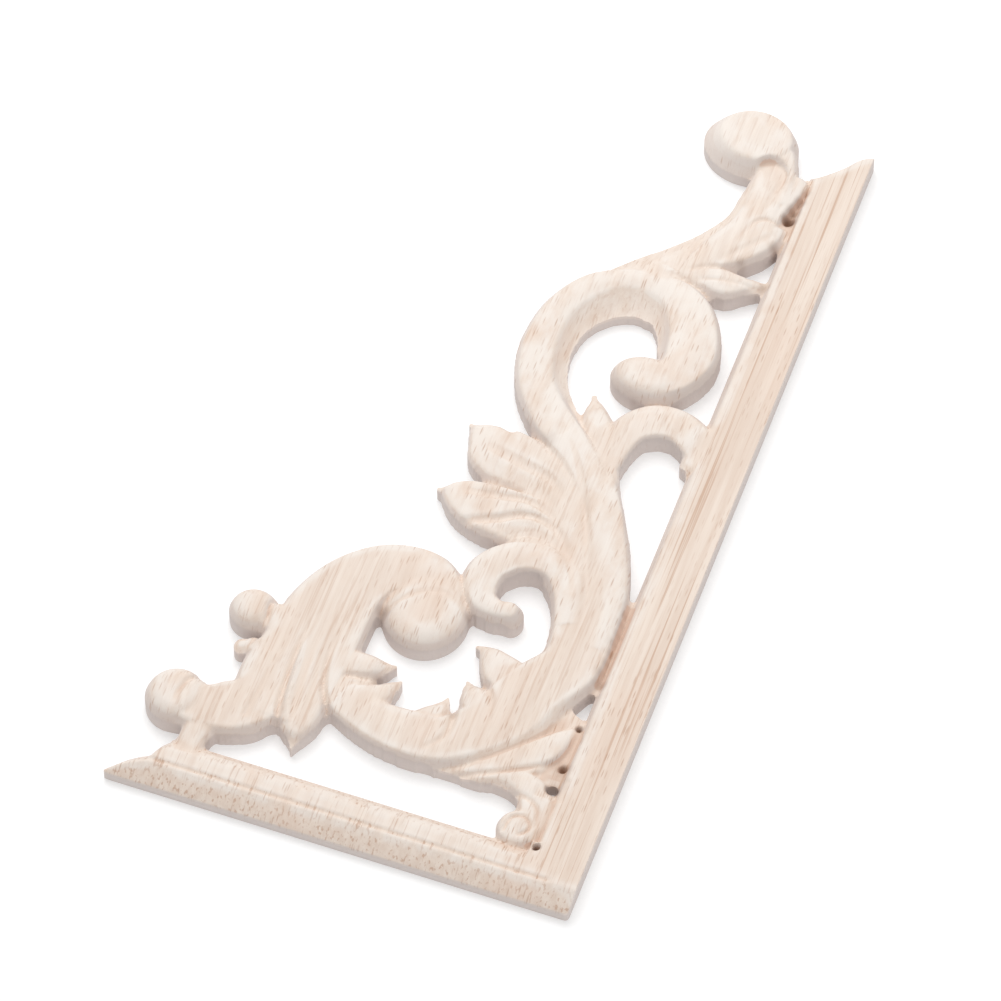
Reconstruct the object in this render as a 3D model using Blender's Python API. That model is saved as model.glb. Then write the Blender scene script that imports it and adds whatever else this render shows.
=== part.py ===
"""Carved wooden corner onlay, left hand of a pair: a flat stile, a moulded foot and openwork leaf scrolls."""
import math

import bmesh
import bpy
from mathutils import Vector

# Overall sizes in metres
LENGTH = 0.200
THICKNESS = 0.008

# The carving is laid out in drawing units, with the outer corner at the origin, the stile along +Y
# and the foot along -X. FIT turns a drawing unit into metres.
DRAWN_LENGTH = 202.1
FIT = LENGTH / DRAWN_LENGTH

# Heights above the back in drawing units
WALL = 3.0
FRONT_WALL = 2.3
FACE = 5.4
LOW_LEAF = 5.2
LEAF = 6.0
CREST = 6.8
BALL = THICKNESS / FIT

# The middle of the corner block, which becomes the origin, lies this far in from both outer edges
CORNER = 5.8

# Widths in drawing units
STILE_WIDTH = 11.6
STILE_START = 3.9
FOOT_LENGTH = 101.4
FOOT_DEPTH = 11.6
SHOULDER = 1.6
SHOULDER_LIFT = 0.88

# How finely the forms are cut
STEP = 3.2
SHOULDER_CUTS = 2
BODY_CUTS = 2
CAP_CUTS = 3
DOME_SIDES = 24
DEPTH_STAGGER = 0.05
GROOVE = 0.9
END_SHOULDER = 3.4

work = []
cutters = []


def clear_scene():
    """Remove what a new file starts with."""
    for item in list(bpy.data.objects):
        bpy.data.objects.remove(item, do_unlink=True)


def new_collection(name):
    """Make a collection and link it to the scene."""
    group = bpy.data.collections.new(name)
    bpy.context.scene.collection.children.link(group)
    return group


def mesh_object(name, points, faces, group):
    """Make a closed mesh object from points in drawing units."""
    data = bpy.data.meshes.new(name)
    data.from_pydata([((x + CORNER) * FIT, (y - CORNER) * FIT, z * FIT) for x, y, z in points], [], faces)
    edit = bmesh.new()
    edit.from_mesh(data)
    bmesh.ops.remove_doubles(edit, verts=edit.verts, dist=0.000001)
    bmesh.ops.recalc_face_normals(edit, faces=edit.faces)
    edit.to_mesh(data)
    edit.free()
    item = bpy.data.objects.new(name, data)
    group.objects.link(item)
    if group.name == "cutters":
        item.hide_render = True
        item.display_type = "WIRE"
    return item


def spline(stations, step=STEP):
    """Run a smooth curve through the stations and cut it at about one step between cuts."""
    count = len(stations)
    rows = []
    for index in range(count - 1):
        before = stations[max(index - 1, 0)]
        here = stations[index]
        there = stations[index + 1]
        after = stations[min(index + 2, count - 1)]
        span = math.hypot(there[0] - here[0], there[1] - here[1])
        cuts = max(1, round(span / step))
        for cut in range(cuts):
            t = cut / cuts
            row = []
            for a, b, c, d in zip(before, here, there, after):
                slope_in = (c - a) / 2
                slope_out = (d - b) / 2
                cube = 2 * b - 2 * c + slope_in + slope_out
                square = -3 * b + 3 * c - 2 * slope_in - slope_out
                row.append(((cube * t + square) * t + slope_in) * t + b)
            rows.append(row)
    rows.append(list(stations[-1]))
    return rows


def round_end(rows, at_end):
    """Close a ribbon with a half round as wide as its last cut."""
    if at_end:
        last, near = rows[-1], rows[-2]
    else:
        last, near = rows[0], rows[1]
    along = Vector((last[0] - near[0], last[1] - near[1])).normalized()
    reach = last[2] / 2
    extra = []
    for cut in range(1, CAP_CUTS + 1):
        angle = math.pi / 2 * cut / (CAP_CUTS + 0.25)
        row = list(last)
        row[0] += along.x * reach * math.sin(angle)
        row[1] += along.y * reach * math.sin(angle)
        row[2] = last[2] * math.cos(angle)
        row[3] = WALL + (last[3] - WALL) * math.cos(angle) ** 0.8
        extra.append(row)
    return rows + extra if at_end else extra[::-1] + rows


def shoulder_rise(t):
    """Share of a shoulder's height reached at a share of its width: nearly straight, with a crisp top edge."""
    return t * (1.35 - 0.35 * t)


def bead_section(row):
    """Heights across a rounded ribbon: a shoulder, a soft crown and a shoulder."""
    width, crest = row[2], row[3]
    first = min(row[4] if len(row) > 4 else SHOULDER, width * 0.42)
    second = min(SHOULDER, width * 0.42)
    crown = WALL + (crest - WALL) * min(1.0, width / 6)
    points = []
    for cut in range(SHOULDER_CUTS + 1):
        t = cut / SHOULDER_CUTS
        points.append((first * t, WALL + (crown - WALL) * SHOULDER_LIFT * shoulder_rise(t)))
    for cut in range(1, BODY_CUTS):
        t = cut / BODY_CUTS
        lift = SHOULDER_LIFT + (1 - SHOULDER_LIFT) * math.sin(math.pi * t)
        points.append((first + (width - first - second) * t, WALL + (crown - WALL) * lift))
    for cut in range(SHOULDER_CUTS, -1, -1):
        t = cut / SHOULDER_CUTS
        points.append((width - second * t, WALL + (crown - WALL) * SHOULDER_LIFT * shoulder_rise(t)))
    return points


def band_section(row):
    """Heights across a scroll: outer shoulder, raised band, then a hollow down to the inner edge."""
    width, crest = row[2], row[3]
    hollow = min(max(row[4], 0.3), width * 0.5)
    shoulder = min(SHOULDER, width * 0.3)
    body = width - hollow - shoulder
    points = []
    for cut in range(SHOULDER_CUTS + 1):
        t = cut / SHOULDER_CUTS
        points.append((shoulder * t, WALL + (crest - WALL) * SHOULDER_LIFT * shoulder_rise(t)))
    for cut in range(1, BODY_CUTS + 1):
        t = cut / BODY_CUTS
        rise = SHOULDER_LIFT + (1 - SHOULDER_LIFT) * math.sin(math.pi * t)
        points.append((shoulder + body * t, WALL + (crest - WALL) * rise))
    top = points[-1][1]
    for cut in range(1, BODY_CUTS + 1):
        t = cut / BODY_CUTS
        points.append((width - hollow + hollow * t, WALL + (top - WALL) * (1 - t) ** 1.4))
    return points


def ribbon(name, stations, section=bead_section, start="flat", end="round", flip=False, step=STEP):
    """Sweep a section along stations of centre x, centre y, width and crest height."""
    rows = spline(stations, step)
    if start == "round":
        rows = round_end(rows, False)
    if end == "round":
        rows = round_end(rows, True)
    count = len(rows)
    points = []
    last_rails = None
    depth = -1.0 - DEPTH_STAGGER * len(work)
    across_count = 0
    for index, row in enumerate(rows):
        ahead = rows[min(index + 1, count - 1)]
        behind = rows[max(index - 1, 0)]
        along = Vector((ahead[0] - behind[0], ahead[1] - behind[1])).normalized()
        side = Vector((-along.y, along.x))
        middle = Vector((row[0], row[1]))
        rails = [middle + side * row[2] / 2, middle - side * row[2] / 2]
        if last_rails:
            for number in range(2):
                gone = (rails[number] - last_rails[number]).dot(along)
                if gone < 0.12:
                    rails[number] = rails[number] + along * (0.12 - gone)
        last_rails = rails
        outer, inner = (rails[1], rails[0]) if flip else rails
        section_points = section(row)
        across_count = len(section_points) + 2
        points.append((outer.x, outer.y, depth))
        for across, height in section_points:
            spot = outer.lerp(inner, across / row[2])
            points.append((spot.x, spot.y, height))
        points.append((inner.x, inner.y, depth))
    faces = []
    for index in range(count - 1):
        for number in range(across_count):
            following = (number + 1) % across_count
            a = index * across_count + number
            b = index * across_count + following
            faces.append((a, b, b + across_count, a + across_count))
    faces.append(tuple(range(across_count)))
    faces.append(tuple(range((count - 1) * across_count, count * across_count)))
    item = mesh_object(name, points, faces, carving)
    work.append(item)
    return item


def dome(name, x, y, reach_x, reach_y, crest, shoulder=4.0, edge=WALL):
    """Make a rounded boss with a level wall and a domed top."""
    rings = [(1.0, -1.0 - DEPTH_STAGGER * len(work)), (1.0, edge)]
    for cut in range(1, SHOULDER_CUTS + BODY_CUTS):
        t = cut / (SHOULDER_CUTS + BODY_CUTS)
        inset = 1 - shoulder / min(reach_x, reach_y) * (1 - math.cos(math.pi / 2 * t))
        rings.append((inset, edge + (crest - edge) * 0.85 * math.sin(math.pi / 2 * t)))
    rings.append((0.35, crest - (crest - edge) * 0.04))
    points = []
    for scale, height in rings:
        for number in range(DOME_SIDES):
            angle = math.tau * number / DOME_SIDES
            spot_x = x + reach_x * scale * math.cos(angle)
            spot_y = y + reach_y * scale * math.sin(angle)
            points.append((spot_x, spot_y, height))
    faces = []
    for ring in range(len(rings) - 1):
        for number in range(DOME_SIDES):
            following = (number + 1) % DOME_SIDES
            a = ring * DOME_SIDES + number
            b = ring * DOME_SIDES + following
            faces.append((a, b, b + DOME_SIDES, a + DOME_SIDES))
    points.append((x, y, crest))
    top = len(points) - 1
    first = (len(rings) - 1) * DOME_SIDES
    for number in range(DOME_SIDES):
        faces.append((first + number, first + (number + 1) % DOME_SIDES, top))
    faces.append(tuple(range(DOME_SIDES)))
    item = mesh_object(name, points, faces, carving)
    work.append(item)
    return item


def gouge(name, stations, step=STEP):
    """Make a cutter for a groove from stations of x, y, width at the surface and height of its bottom."""
    rows = spline(stations, step)
    count = len(rows)
    points = []
    for index, row in enumerate(rows):
        ahead = rows[min(index + 1, count - 1)]
        behind = rows[max(index - 1, 0)]
        along = Vector((ahead[0] - behind[0], ahead[1] - behind[1])).normalized()
        side = Vector((-along.y, along.x))
        middle = Vector((row[0], row[1]))
        half = row[2] / 2
        for across, height in ((0.0, row[3]), (-half, row[3] + GROOVE), (-half * 3, 12.0), (half * 3, 12.0),
                               (half, row[3] + GROOVE)):
            spot = middle + side * across
            points.append((spot.x, spot.y, height))
    faces = []
    for index in range(count - 1):
        for number in range(5):
            a = index * 5 + number
            b = index * 5 + (number + 1) % 5
            faces.append((a, b, b + 5, a + 5))
    faces.append(tuple(range(5)))
    faces.append(tuple(range((count - 1) * 5, count * 5)))
    item = mesh_object(name, points, faces, tools)
    cutters.append(item)
    return item


def inset_corner(before, here, after, first, second):
    """Find where two neighbouring sides meet after each has moved inward."""
    one = (Vector(here) - Vector(before)).normalized()
    two = (Vector(after) - Vector(here)).normalized()
    normal_one = Vector((-one.y, one.x))
    normal_two = Vector((-two.y, two.x))
    turn = one.x * two.y - one.y * two.x
    if abs(turn) < 0.05:
        return Vector(here) + (normal_one + normal_two).normalized() * (first + second) / 2
    start = Vector(here) + normal_one * first
    other = Vector(here) + normal_two * second
    gap = other - start
    return start + one * ((gap.x * two.y - gap.y * two.x) / turn)


def plate(name, outline, insets, levels, depth):
    """Make a board from an outline, with a stepped shoulder along the sides that have one."""
    count = len(outline)
    points = [(x, y, depth) for x, y in outline]
    for share, height in levels:
        for index in range(count):
            corner = inset_corner(outline[index - 1], outline[index], outline[(index + 1) % count],
                                  insets[index - 1] * share, insets[index] * share)
            points.append((corner.x, corner.y, height))
    faces = [tuple(range(count))]
    for ring in range(len(levels)):
        for index in range(count):
            following = (index + 1) % count
            a = ring * count + index
            b = ring * count + following
            faces.append((a, b, b + count, a + count))
    faces.append(tuple(range(len(levels) * count, (len(levels) + 1) * count)))
    return mesh_object(name, points, faces, carving)


def shoulder_levels(edge, top):
    """Give the share of the inset and the height of each ring of a shoulder."""
    levels = []
    for cut in range(SHOULDER_CUTS + 1):
        t = cut / SHOULDER_CUTS
        levels.append((t, edge + (top - edge) * shoulder_rise(t)))
    return levels


def curve_points(stations, step):
    """Cut a smooth plan curve into points."""
    return [(row[0], row[1]) for row in spline(stations, step)]


def boolean(target, others, operation):
    """Apply one Boolean step with one tool object or a collection of them."""
    change = target.modifiers.new("cut", "BOOLEAN")
    change.operation = operation
    change.solver = "EXACT"
    if len(others) == 1:
        change.object = others[0]
    else:
        group = bpy.data.collections.new("forms")
        for other in others:
            group.objects.link(other)
        change.operand_type = "COLLECTION"
        change.collection = group
    graph = bpy.context.evaluated_depsgraph_get()
    made = bpy.data.meshes.new_from_object(target.evaluated_get(graph))
    target.modifiers.clear()
    target.data = made


def build_stile():
    """Make the long flat leg with its swept top. Its other end lies in the foot, behind the rounded front."""
    sweep = [(0.0, 199.6), (-2.0, 198.8), (-3.6, 197.4), (-5.6, 194.9), (-8.4, 192.1), (-10.4, 190.4),
             (-12.4, 189.6)]
    top = curve_points(sweep, 1.6)
    outline = [(0.0, STILE_START)] + top + [(-14.0, 189.8), (-STILE_WIDTH, 184.0), (-STILE_WIDTH, STILE_START)]
    insets = [0.0] + [SHOULDER] * len(top) + [0.0, SHOULDER, 0.0]
    item = plate("stile", outline, insets, shoulder_levels(WALL, FACE), -1.0)
    work.append(item)
    return item


def build_foot():
    """Make the moulded short leg: ovolo, groove, fillet and chamfer, with a shaped outer end."""
    profile = [(0.0, -1.5), (0.0, FRONT_WALL), (0.9, 3.35), (2.2, 4.3), (4.2, FACE - 0.05), (4.6, FACE - 0.8),
               (5.0, FACE), (8.2, FACE), (9.9, 4.7), (FOOT_DEPTH, WALL + 0.2), (FOOT_DEPTH, -1.5)]
    points = []
    for x in (-FOOT_LENGTH - 1, 0.0):
        for y, z in profile:
            points.append((x, y, z))
    count = len(profile)
    faces = [tuple(range(count)), tuple(range(count, 2 * count))]
    for index in range(count):
        following = (index + 1) % count
        faces.append((index, following, following + count, index + count))
    moulding = mesh_object("foot", points, faces, carving)
    rise = curve_points([(-88.0, 12.9), (-89.6, 11.4), (-90.9, 10.0), (-91.8, 8.3)], 1.2)
    swell = curve_points([(-92.2, 7.0), (-94.0, 6.1), (-96.4, 4.4), (-98.6, 2.3), (-100.4, 0.4),
                          (-101.4, -0.6)], 1.2)
    outline = [(1.0, -1.0), (1.0, 13.0), (-88.0, 13.0)] + rise[1:] + swell + [(-101.4, -1.0)]
    count = len(outline)
    points = []
    for share, height in ((0.0, -2.0), (0.0, WALL - 0.9), (0.45, FACE - 0.8), (1.0, FACE + 0.3)):
        for x, y in outline:
            if x < -80:
                points.append((x + END_SHOULDER * share, y, height))
            else:
                points.append((x, y, height))
    faces = [tuple(range(count)), tuple(range(3 * count, 4 * count))]
    for ring in range(3):
        for index in range(count):
            a = ring * count + index
            b = ring * count + (index + 1) % count
            faces.append((a, b, b + count, a + count))
    shape = mesh_object("foot_end", points, faces, carving)
    boolean(moulding, [shape], "INTERSECT")
    bpy.data.objects.remove(shape, do_unlink=True)
    work.append(moulding)
    return moulding


def build_scrolls():
    """Make the scrolls, stems and leaves of the openwork."""
    ribbon("upper_scroll", [
        (-31.0, 98.0, 11.0, 6.4, 0.8), (-37.5, 106.5, 11.6, 6.7, 1.8), (-43.1, 112.4, 12.0, 6.8, 3.0),
        (-47.5, 118.4, 12.2, CREST, 3.8), (-49.8, 125.2, 12.2, CREST, 4.0), (-50.1, 131.5, 11.9, CREST, 4.2),
        (-48.6, 138.2, 12.0, CREST, 4.8), (-44.5, 144.3, 12.4, CREST, 5.4), (-38.4, 147.8, 12.0, CREST, 6.2),
        (-32.6, 148.4, 12.6, CREST, 5.6), (-27.4, 147.2, 14.2, 7.0, 4.6), (-23.2, 142.5, 14.4, 7.2, 3.4),
        (-21.0, 135.8, 14.4, 7.4, 2.8), (-22.0, 130.6, 12.6, 7.4, 2.6), (-24.6, 128.0, 11.6, 7.2, 2.7)],
        section=band_section, end="flat")
    dome("upper_ball", -27.0, 127.4, 8.2, 5.6, BALL - 0.4, shoulder=3.0)
    ribbon("top_stem", [
        (-44.0, 147.0, 8.4, 5.6, 3.0), (-36.8, 152.9, 11.0, 6.2, 4.6), (-30.0, 158.6, 11.8, 6.4, 4.4),
        (-23.8, 164.8, 12.8, 6.4, 3.6), (-19.6, 172.0, 12.6, 6.4, 3.0), (-18.6, 179.5, 12.0, 6.3, 2.8),
        (-18.4, 186.0, 10.8, 6.3, 2.6), (-19.4, 190.5, 10.0, 6.6, 2.4), (-22.0, 194.0, 9.0, 7.0, 2.4)])
    dome("top_knob", -26.2, 193.7, 10.4, 8.4, BALL, shoulder=3.6)
    ribbon("top_leaf_high", [(-18.5, 176.0, 7.0, 6.2), (-15.0, 182.0, 7.4, 6.0), (-12.6, 187.0, 6.4, 5.6)],
           end="flat")
    ribbon("top_leaf_middle", [
        (-27.0, 160.0, 8.0, 6.2), (-20.9, 165.2, 10.4, 6.4), (-16.6, 169.6, 9.8, 6.3),
        (-13.2, 173.2, 5.8, 5.8), (-10.8, 175.0, 2.8, 5.3)])
    ribbon("top_leaf_low", [
        (-31.0, 155.4, 6.6, 6.2), (-24.0, 156.6, 8.4, 6.4), (-19.4, 156.5, 8.8, 6.2),
        (-15.0, 157.9, 5.4, 5.6), (-11.0, 159.0, 3.0, 5.1)])
    ribbon("arch", [
        (-29.0, 96.0, 8.0, 6.0, 0.9), (-28.4, 106.0, 8.0, 6.0, 0.9), (-26.6, 113.8, 9.0, 6.2, 0.9),
        (-22.6, 117.6, 9.8, 6.3, 0.9), (-17.6, 118.4, 9.6, 6.3, 0.9), (-13.0, 116.4, 9.4, 6.0, 0.9),
        (-9.6, 113.0, 8.4, 5.2, 0.9)], end="flat", flip=True)
    ribbon("arch_end", [(-10.0, 114.0, 8.0, 5.4), (-11.4, 110.6, 6.6, 5.2), (-12.6, 107.9, 4.0, 5.0)],
           end="flat")
    ribbon("spur", [
        (-29.0, 100.0, 6.6, 5.8), (-31.2, 107.5, 8.0, 5.8), (-33.3, 113.2, 7.6, 5.6),
        (-35.1, 117.2, 5.2, 5.2), (-36.4, 120.2, 1.8, 4.6)])
    ribbon("main_stem", [
        (-60.0, 32.0, 9.6, 5.8, 1.2), (-52.4, 29.2, 11.0, LEAF, 1.2), (-45.0, 28.4, 12.4, LEAF, 1.2),
        (-38.0, 29.0, 12.8, LEAF, 1.2), (-31.8, 32.8, 15.0, 6.1, 1.4), (-26.7, 38.8, 17.6, 6.2, 1.4),
        (-22.9, 46.8, 16.2, 6.4, 1.4), (-18.8, 54.5, 14.6, 6.5, 1.3), (-19.0, 63.5, 15.0, 6.5, 1.2),
        (-21.0, 72.6, 17.8, 6.4, 1.2), (-25.4, 81.0, 21.2, 6.3, 1.2), (-31.3, 90.7, 22.6, 6.2, 1.2),
        (-34.2, 101.0, 20.0, 6.0, 1.2)], end="flat", flip=True)
    ribbon("raised_strip", [
        (-15.6, 60.0, 7.2, 6.5, 1.1), (-16.4, 70.0, 8.0, CREST, 1.1), (-19.4, 80.0, 9.2, 6.9, 1.1),
        (-23.6, 90.0, 9.6, 7.0, 1.1), (-28.2, 97.6, 10.0, 7.0, 1.2), (-33.4, 103.0, 10.6, 6.9, 1.4),
        (-38.2, 107.2, 11.0, 6.8, 1.6)], end="flat", flip=True, step=5.0)
    ribbon("leaf_upper", [
        (-29.0, 96.0, 13.0, 5.9), (-36.0, 97.8, 14.0, 6.0), (-44.0, 98.8, 15.0, 6.0),
        (-50.6, 99.7, 14.4, 5.9), (-54.4, 102.2, 10.0, 5.8), (-57.0, 103.9, 5.2, 5.2), (-58.2, 104.7, 1.6, 4.6)])
    ribbon("leaf_lower", [
        (-29.0, 85.0, 13.6, 6.35), (-36.0, 85.0, 14.0, 6.35), (-44.5, 85.3, 14.4, 6.3),
        (-51.0, 86.1, 12.8, 6.2), (-55.4, 86.8, 8.8, 5.8), (-58.0, 87.2, 4.4, 5.2), (-59.1, 87.3, 1.6, 4.6)])
    ribbon("hook", [
        (-21.8, 64.0, 8.6, 6.6, 0.9), (-24.6, 71.4, 9.0, 7.0, 0.9), (-28.6, 75.9, 8.9, 7.1, 0.9),
        (-33.6, 76.9, 8.7, 7.1, 0.9), (-38.7, 75.3, 9.2, 7.0, 1.0), (-42.4, 71.2, 9.6, 7.0, 1.1),
        (-42.7, 66.4, 9.2, 7.0, 1.2), (-40.6, 63.1, 7.8, 6.9, 1.2), (-37.4, 62.1, 6.4, 6.8, 1.3),
        (-35.0, 62.5, 6.4, 6.8, 1.4)])
    ribbon("tooth_web", [(-66.2, 31.2, 8.0, 5.7), (-61.6, 33.2, 9.4, 5.55), (-56.6, 37.2, 3.6, 5.3)])
    ribbon("tooth_1", [(-25.0, 44.6, 12.0, 6.0), (-31.5, 48.8, 10.2, 5.8), (-34.9, 51.5, 6.8, 5.4),
                       (-37.0, 52.9, 3.8, 5.0), (-38.5, 53.4, 1.4, 4.6)])
    ribbon("tooth_2", [(-28.0, 36.0, 12.0, 6.0), (-33.6, 40.0, 9.2, 5.8), (-36.2, 42.8, 5.0, 5.2),
                       (-37.6, 44.9, 1.2, 4.6)])
    ribbon("tooth_3", [(-49.0, 28.0, 10.0, LEAF), (-43.8, 30.4, 9.4, 5.8), (-41.1, 34.6, 6.6, 5.4),
                       (-40.0, 38.0, 3.4, 4.9), (-40.0, 40.2, 0.9, 4.4)])
    ribbon("tooth_4", [(-60.0, 31.0, 9.0, 5.8), (-53.8, 35.0, 7.2, 5.6), (-51.2, 38.6, 3.6, 5.0),
                       (-50.1, 40.6, 0.9, 4.4)])
    ribbon("tooth_5", [(-64.0, 40.0, 9.0, 5.8), (-57.4, 41.1, 6.6, 5.6), (-54.5, 42.2, 4.2, 5.0),
                       (-52.7, 43.2, 1.4, 4.4)])
    ribbon("lower_scroll", [
        (-72.6, 23.0, 19.0, 5.8), (-72.0, 32.0, 22.0, 6.1), (-70.8, 41.0, 21.2, 6.2),
        (-69.8, 50.0, 19.8, 6.4), (-67.6, 57.2, 17.4, 6.6), (-63.6, 62.6, 14.8, CREST), (-58.8, 65.2, 13.4, CREST),
        (-53.4, 65.4, 12.4, CREST), (-49.8, 62.2, 11.6, CREST), (-49.0, 58.0, 11.0, CREST)])
    dome("lower_ball", -51.3, 57.6, 9.0, 9.6, BALL - 0.4, shoulder=4.6)
    ribbon("leaf_point", [(-68.3, 36.0, 9.0, LEAF), (-67.6, 28.0, 11.8, 5.95), (-66.8, 22.8, 9.2, 5.68),
                          (-66.2, 19.2, 3.8, 5.0), (-66.1, 17.8, 1.4, 4.6)])
    ribbon("leaf_small", [(-77.0, 36.0, 10.0, LEAF), (-77.4, 27.0, 10.2, 5.9), (-77.4, 21.9, 9.2, 5.7)])
    ribbon("curl_arm", [(-70.0, 29.0, 10.0, 5.9), (-79.6, 22.8, 14.0, LEAF), (-86.0, 20.4, 12.0, 6.1),
                        (-90.0, 20.8, 12.0, 6.3)])
    dome("big_curl", -92.3, 21.2, 6.5, 6.5, 7.2, shoulder=3.6)
    ribbon("curl_foot", [(-84.6, 24.0, 10.0, 5.8), (-85.2, 16.0, 7.8, 5.6), (-85.6, 12.4, 6.8, 5.2),
                         (-85.6, 8.0, 6.8, 4.8)], end="flat")
    dome("small_curl", -84.8, 46.1, 5.2, 5.0, 6.7, shoulder=3.2)
    ribbon("curl_neck", [(-74.0, 43.0, 10.4, LEAF), (-81.6, 45.8, 8.4, LEAF)])
    ribbon("curl_spur", [(-76.0, 38.0, 10.0, 5.8), (-81.8, 37.6, 6.0, 5.4), (-83.8, 37.4, 4.2, 5.0)])
    ribbon("corner_leaf", [(-14.2, 13.0, 7.4, 5.0), (-13.8, 19.0, 8.6, 5.2), (-15.4, 23.2, 8.4, LOW_LEAF),
                           (-20.4, 25.8, 6.8, LOW_LEAF), (-26.4, 25.2, 5.2, 5.0), (-32.4, 23.8, 3.0, 4.6),
                           (-37.0, 22.9, 1.2, 4.2)])
    ribbon("corner_leaf_high", [(-34.0, 23.6, 2.4, 4.4), (-27.0, 25.6, 7.0, 5.0), (-20.5, 30.0, 9.0, LOW_LEAF),
                                (-16.0, 35.2, 7.6, LOW_LEAF), (-13.4, 40.0, 4.4, 5.0), (-12.6, 42.6, 2.2, 4.6)])
    dome("small_volute", -15.9, 14.7, 4.5, 4.5, 5.7, shoulder=1.6)


def build_ground():
    """Make the low ground that fills the angles beside the stile."""
    for name, outline, height, depth in (
            ("corner_ground", [(-18.0, 10.0), (-9.0, 10.0), (-9.0, 42.8), (-13.0, 42.4), (-17.0, 38.0)],
             2.65, -0.9),
            ("leaf_ground", [(-30.0, 25.0), (-16.0, 22.0), (-12.2, 43.6), (-15.6, 45.2), (-30.0, 29.0)],
             2.8, -0.75),
            ("top_ground", [(-16.0, 174.0), (-9.0, 170.5), (-9.0, 188.0), (-16.0, 188.0)], 4.3, -0.85),
            ("side_ground", [(-16.0, 50.6), (-9.0, 50.6), (-9.0, 74.0), (-14.0, 74.0)], 3.5, -0.8)):
        work.append(plate(name, outline, [0.0] * len(outline), [(0.0, height)], depth))


def build_grooves():
    """Make the cutters for the flute of the knob and the creases between the leaves."""
    gouge("knob_flute", [(-18.4, 176.0, 3.0, 5.6), (-18.6, 182.0, 4.6, 4.8), (-20.0, 187.0, 4.8, 4.6),
                         (-21.4, 190.4, 4.6, 4.6), (-21.8, 192.0, 3.0, 5.2)])
    gouge("leaf_crease", [(-55.0, 92.6, 2.0, 3.4), (-50.0, 92.5, 2.2, 4.6), (-43.0, 92.5, 2.2, 5.4),
                          (-36.0, 90.8, 2.0, 5.8)])
    gouge("hook_crease", [(-47.0, 77.4, 2.0, 3.8), (-43.4, 80.6, 2.0, 5.2), (-37.6, 82.9, 2.0, 5.7),
                          (-31.4, 83.0, 2.0, 5.9), (-25.6, 80.6, 2.0, 6.1)])
    gouge("scroll_crease", [(-71.8, 20.5, 2.2, 3.2), (-71.3, 27.0, 2.2, 4.8), (-72.3, 35.0, 2.2, 5.4),
                            (-73.0, 44.0, 2.0, 5.7)])
    gouge("stem_crease", [(-61.9, 24.4, 2.2, 3.2), (-63.6, 30.0, 2.2, 4.8), (-65.0, 36.0, 2.2, 5.3),
                          (-64.6, 42.0, 2.0, 5.6)])
    gouge("tooth_crease", [(-37.6, 35.6, 2.0, 4.4), (-38.6, 31.6, 2.0, 5.0), (-41.4, 27.6, 2.0, 5.5)])


def peg(name, x, y, radius, bottom):
    """Make a round cutter for a drilled pit or hole."""
    sides = 12
    points = []
    for height in (bottom, 12.0):
        for number in range(sides):
            angle = math.tau * number / sides
            points.append((x + radius * math.cos(angle), y + radius * math.sin(angle), height))
    faces = [tuple(range(sides)), tuple(range(sides, 2 * sides))]
    for number in range(sides):
        following = (number + 1) % sides
        faces.append((number, following, following + sides, number + sides))
    item = mesh_object(name, points, faces, tools)
    cutters.append(item)
    return item


def build_pits():
    """Make the cutters for the drilled pits of the corner and of the top."""
    peg("corner_hole", -12.4, 25.7, 1.35, -3.0)
    peg("corner_pit", -12.1, 31.3, 1.15, 0.9)
    peg("foot_pit", -10.8, 11.4, 0.8, 1.2)
    peg("gap_pit", -12.2, 41.4, 0.9, 1.2)
    peg("top_pit", -11.9, 176.8, 1.6, 0.9)


def join_all():
    """Unite the forms, carve the grooves and pits, then cut the back flat."""
    body = work[0]
    boolean(body, work[1:], "UNION")
    for cutter in cutters:
        boolean(body, [cutter], "DIFFERENCE")
    bpy.ops.mesh.primitive_cube_add(size=1.0, location=(-0.05, 0.09, -0.01))
    slab = bpy.context.object
    slab.scale = (0.3, 0.4, 0.02)
    bpy.context.view_layer.update()
    boolean(body, [slab], "DIFFERENCE")
    bpy.data.objects.remove(slab, do_unlink=True)
    for item in work[1:]:
        bpy.data.objects.remove(item, do_unlink=True)
    return body


def finish(body):
    """Clean, name, shade and colour the piece."""
    edit = bmesh.new()
    edit.from_mesh(body.data)
    bmesh.ops.remove_doubles(edit, verts=edit.verts, dist=0.000004)
    bmesh.ops.dissolve_degenerate(edit, edges=edit.edges, dist=0.000004)
    bmesh.ops.triangulate(edit, faces=edit.faces)
    bmesh.ops.recalc_face_normals(edit, faces=edit.faces)
    edit.to_mesh(body.data)
    edit.free()
    body.name = "corner_onlay"
    body.data.name = "corner_onlay"
    wood = bpy.data.materials.new("pale_wood")
    wood.use_nodes = True
    shader = wood.node_tree.nodes["Principled BSDF"]
    shader.inputs["Base Color"].default_value = (0.80, 0.68, 0.56, 1.0)
    shader.inputs["Roughness"].default_value = 0.6
    body.data.materials.clear()
    body.data.materials.append(wood)
    for face in body.data.polygons:
        face.material_index = 0
        face.use_smooth = True


clear_scene()
carving = new_collection("corner_onlay")
tools = new_collection("cutters")
build_stile()
build_foot()
build_scrolls()
build_ground()
build_grooves()
build_pits()
piece = join_all()
finish(piece)
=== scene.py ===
"""Dresses the corner onlay: fine carved relief in pale unfinished wood, lying on a white floor."""
import math

import bpy
import numpy as np
from mathutils import Matrix, Vector, geometry


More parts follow.
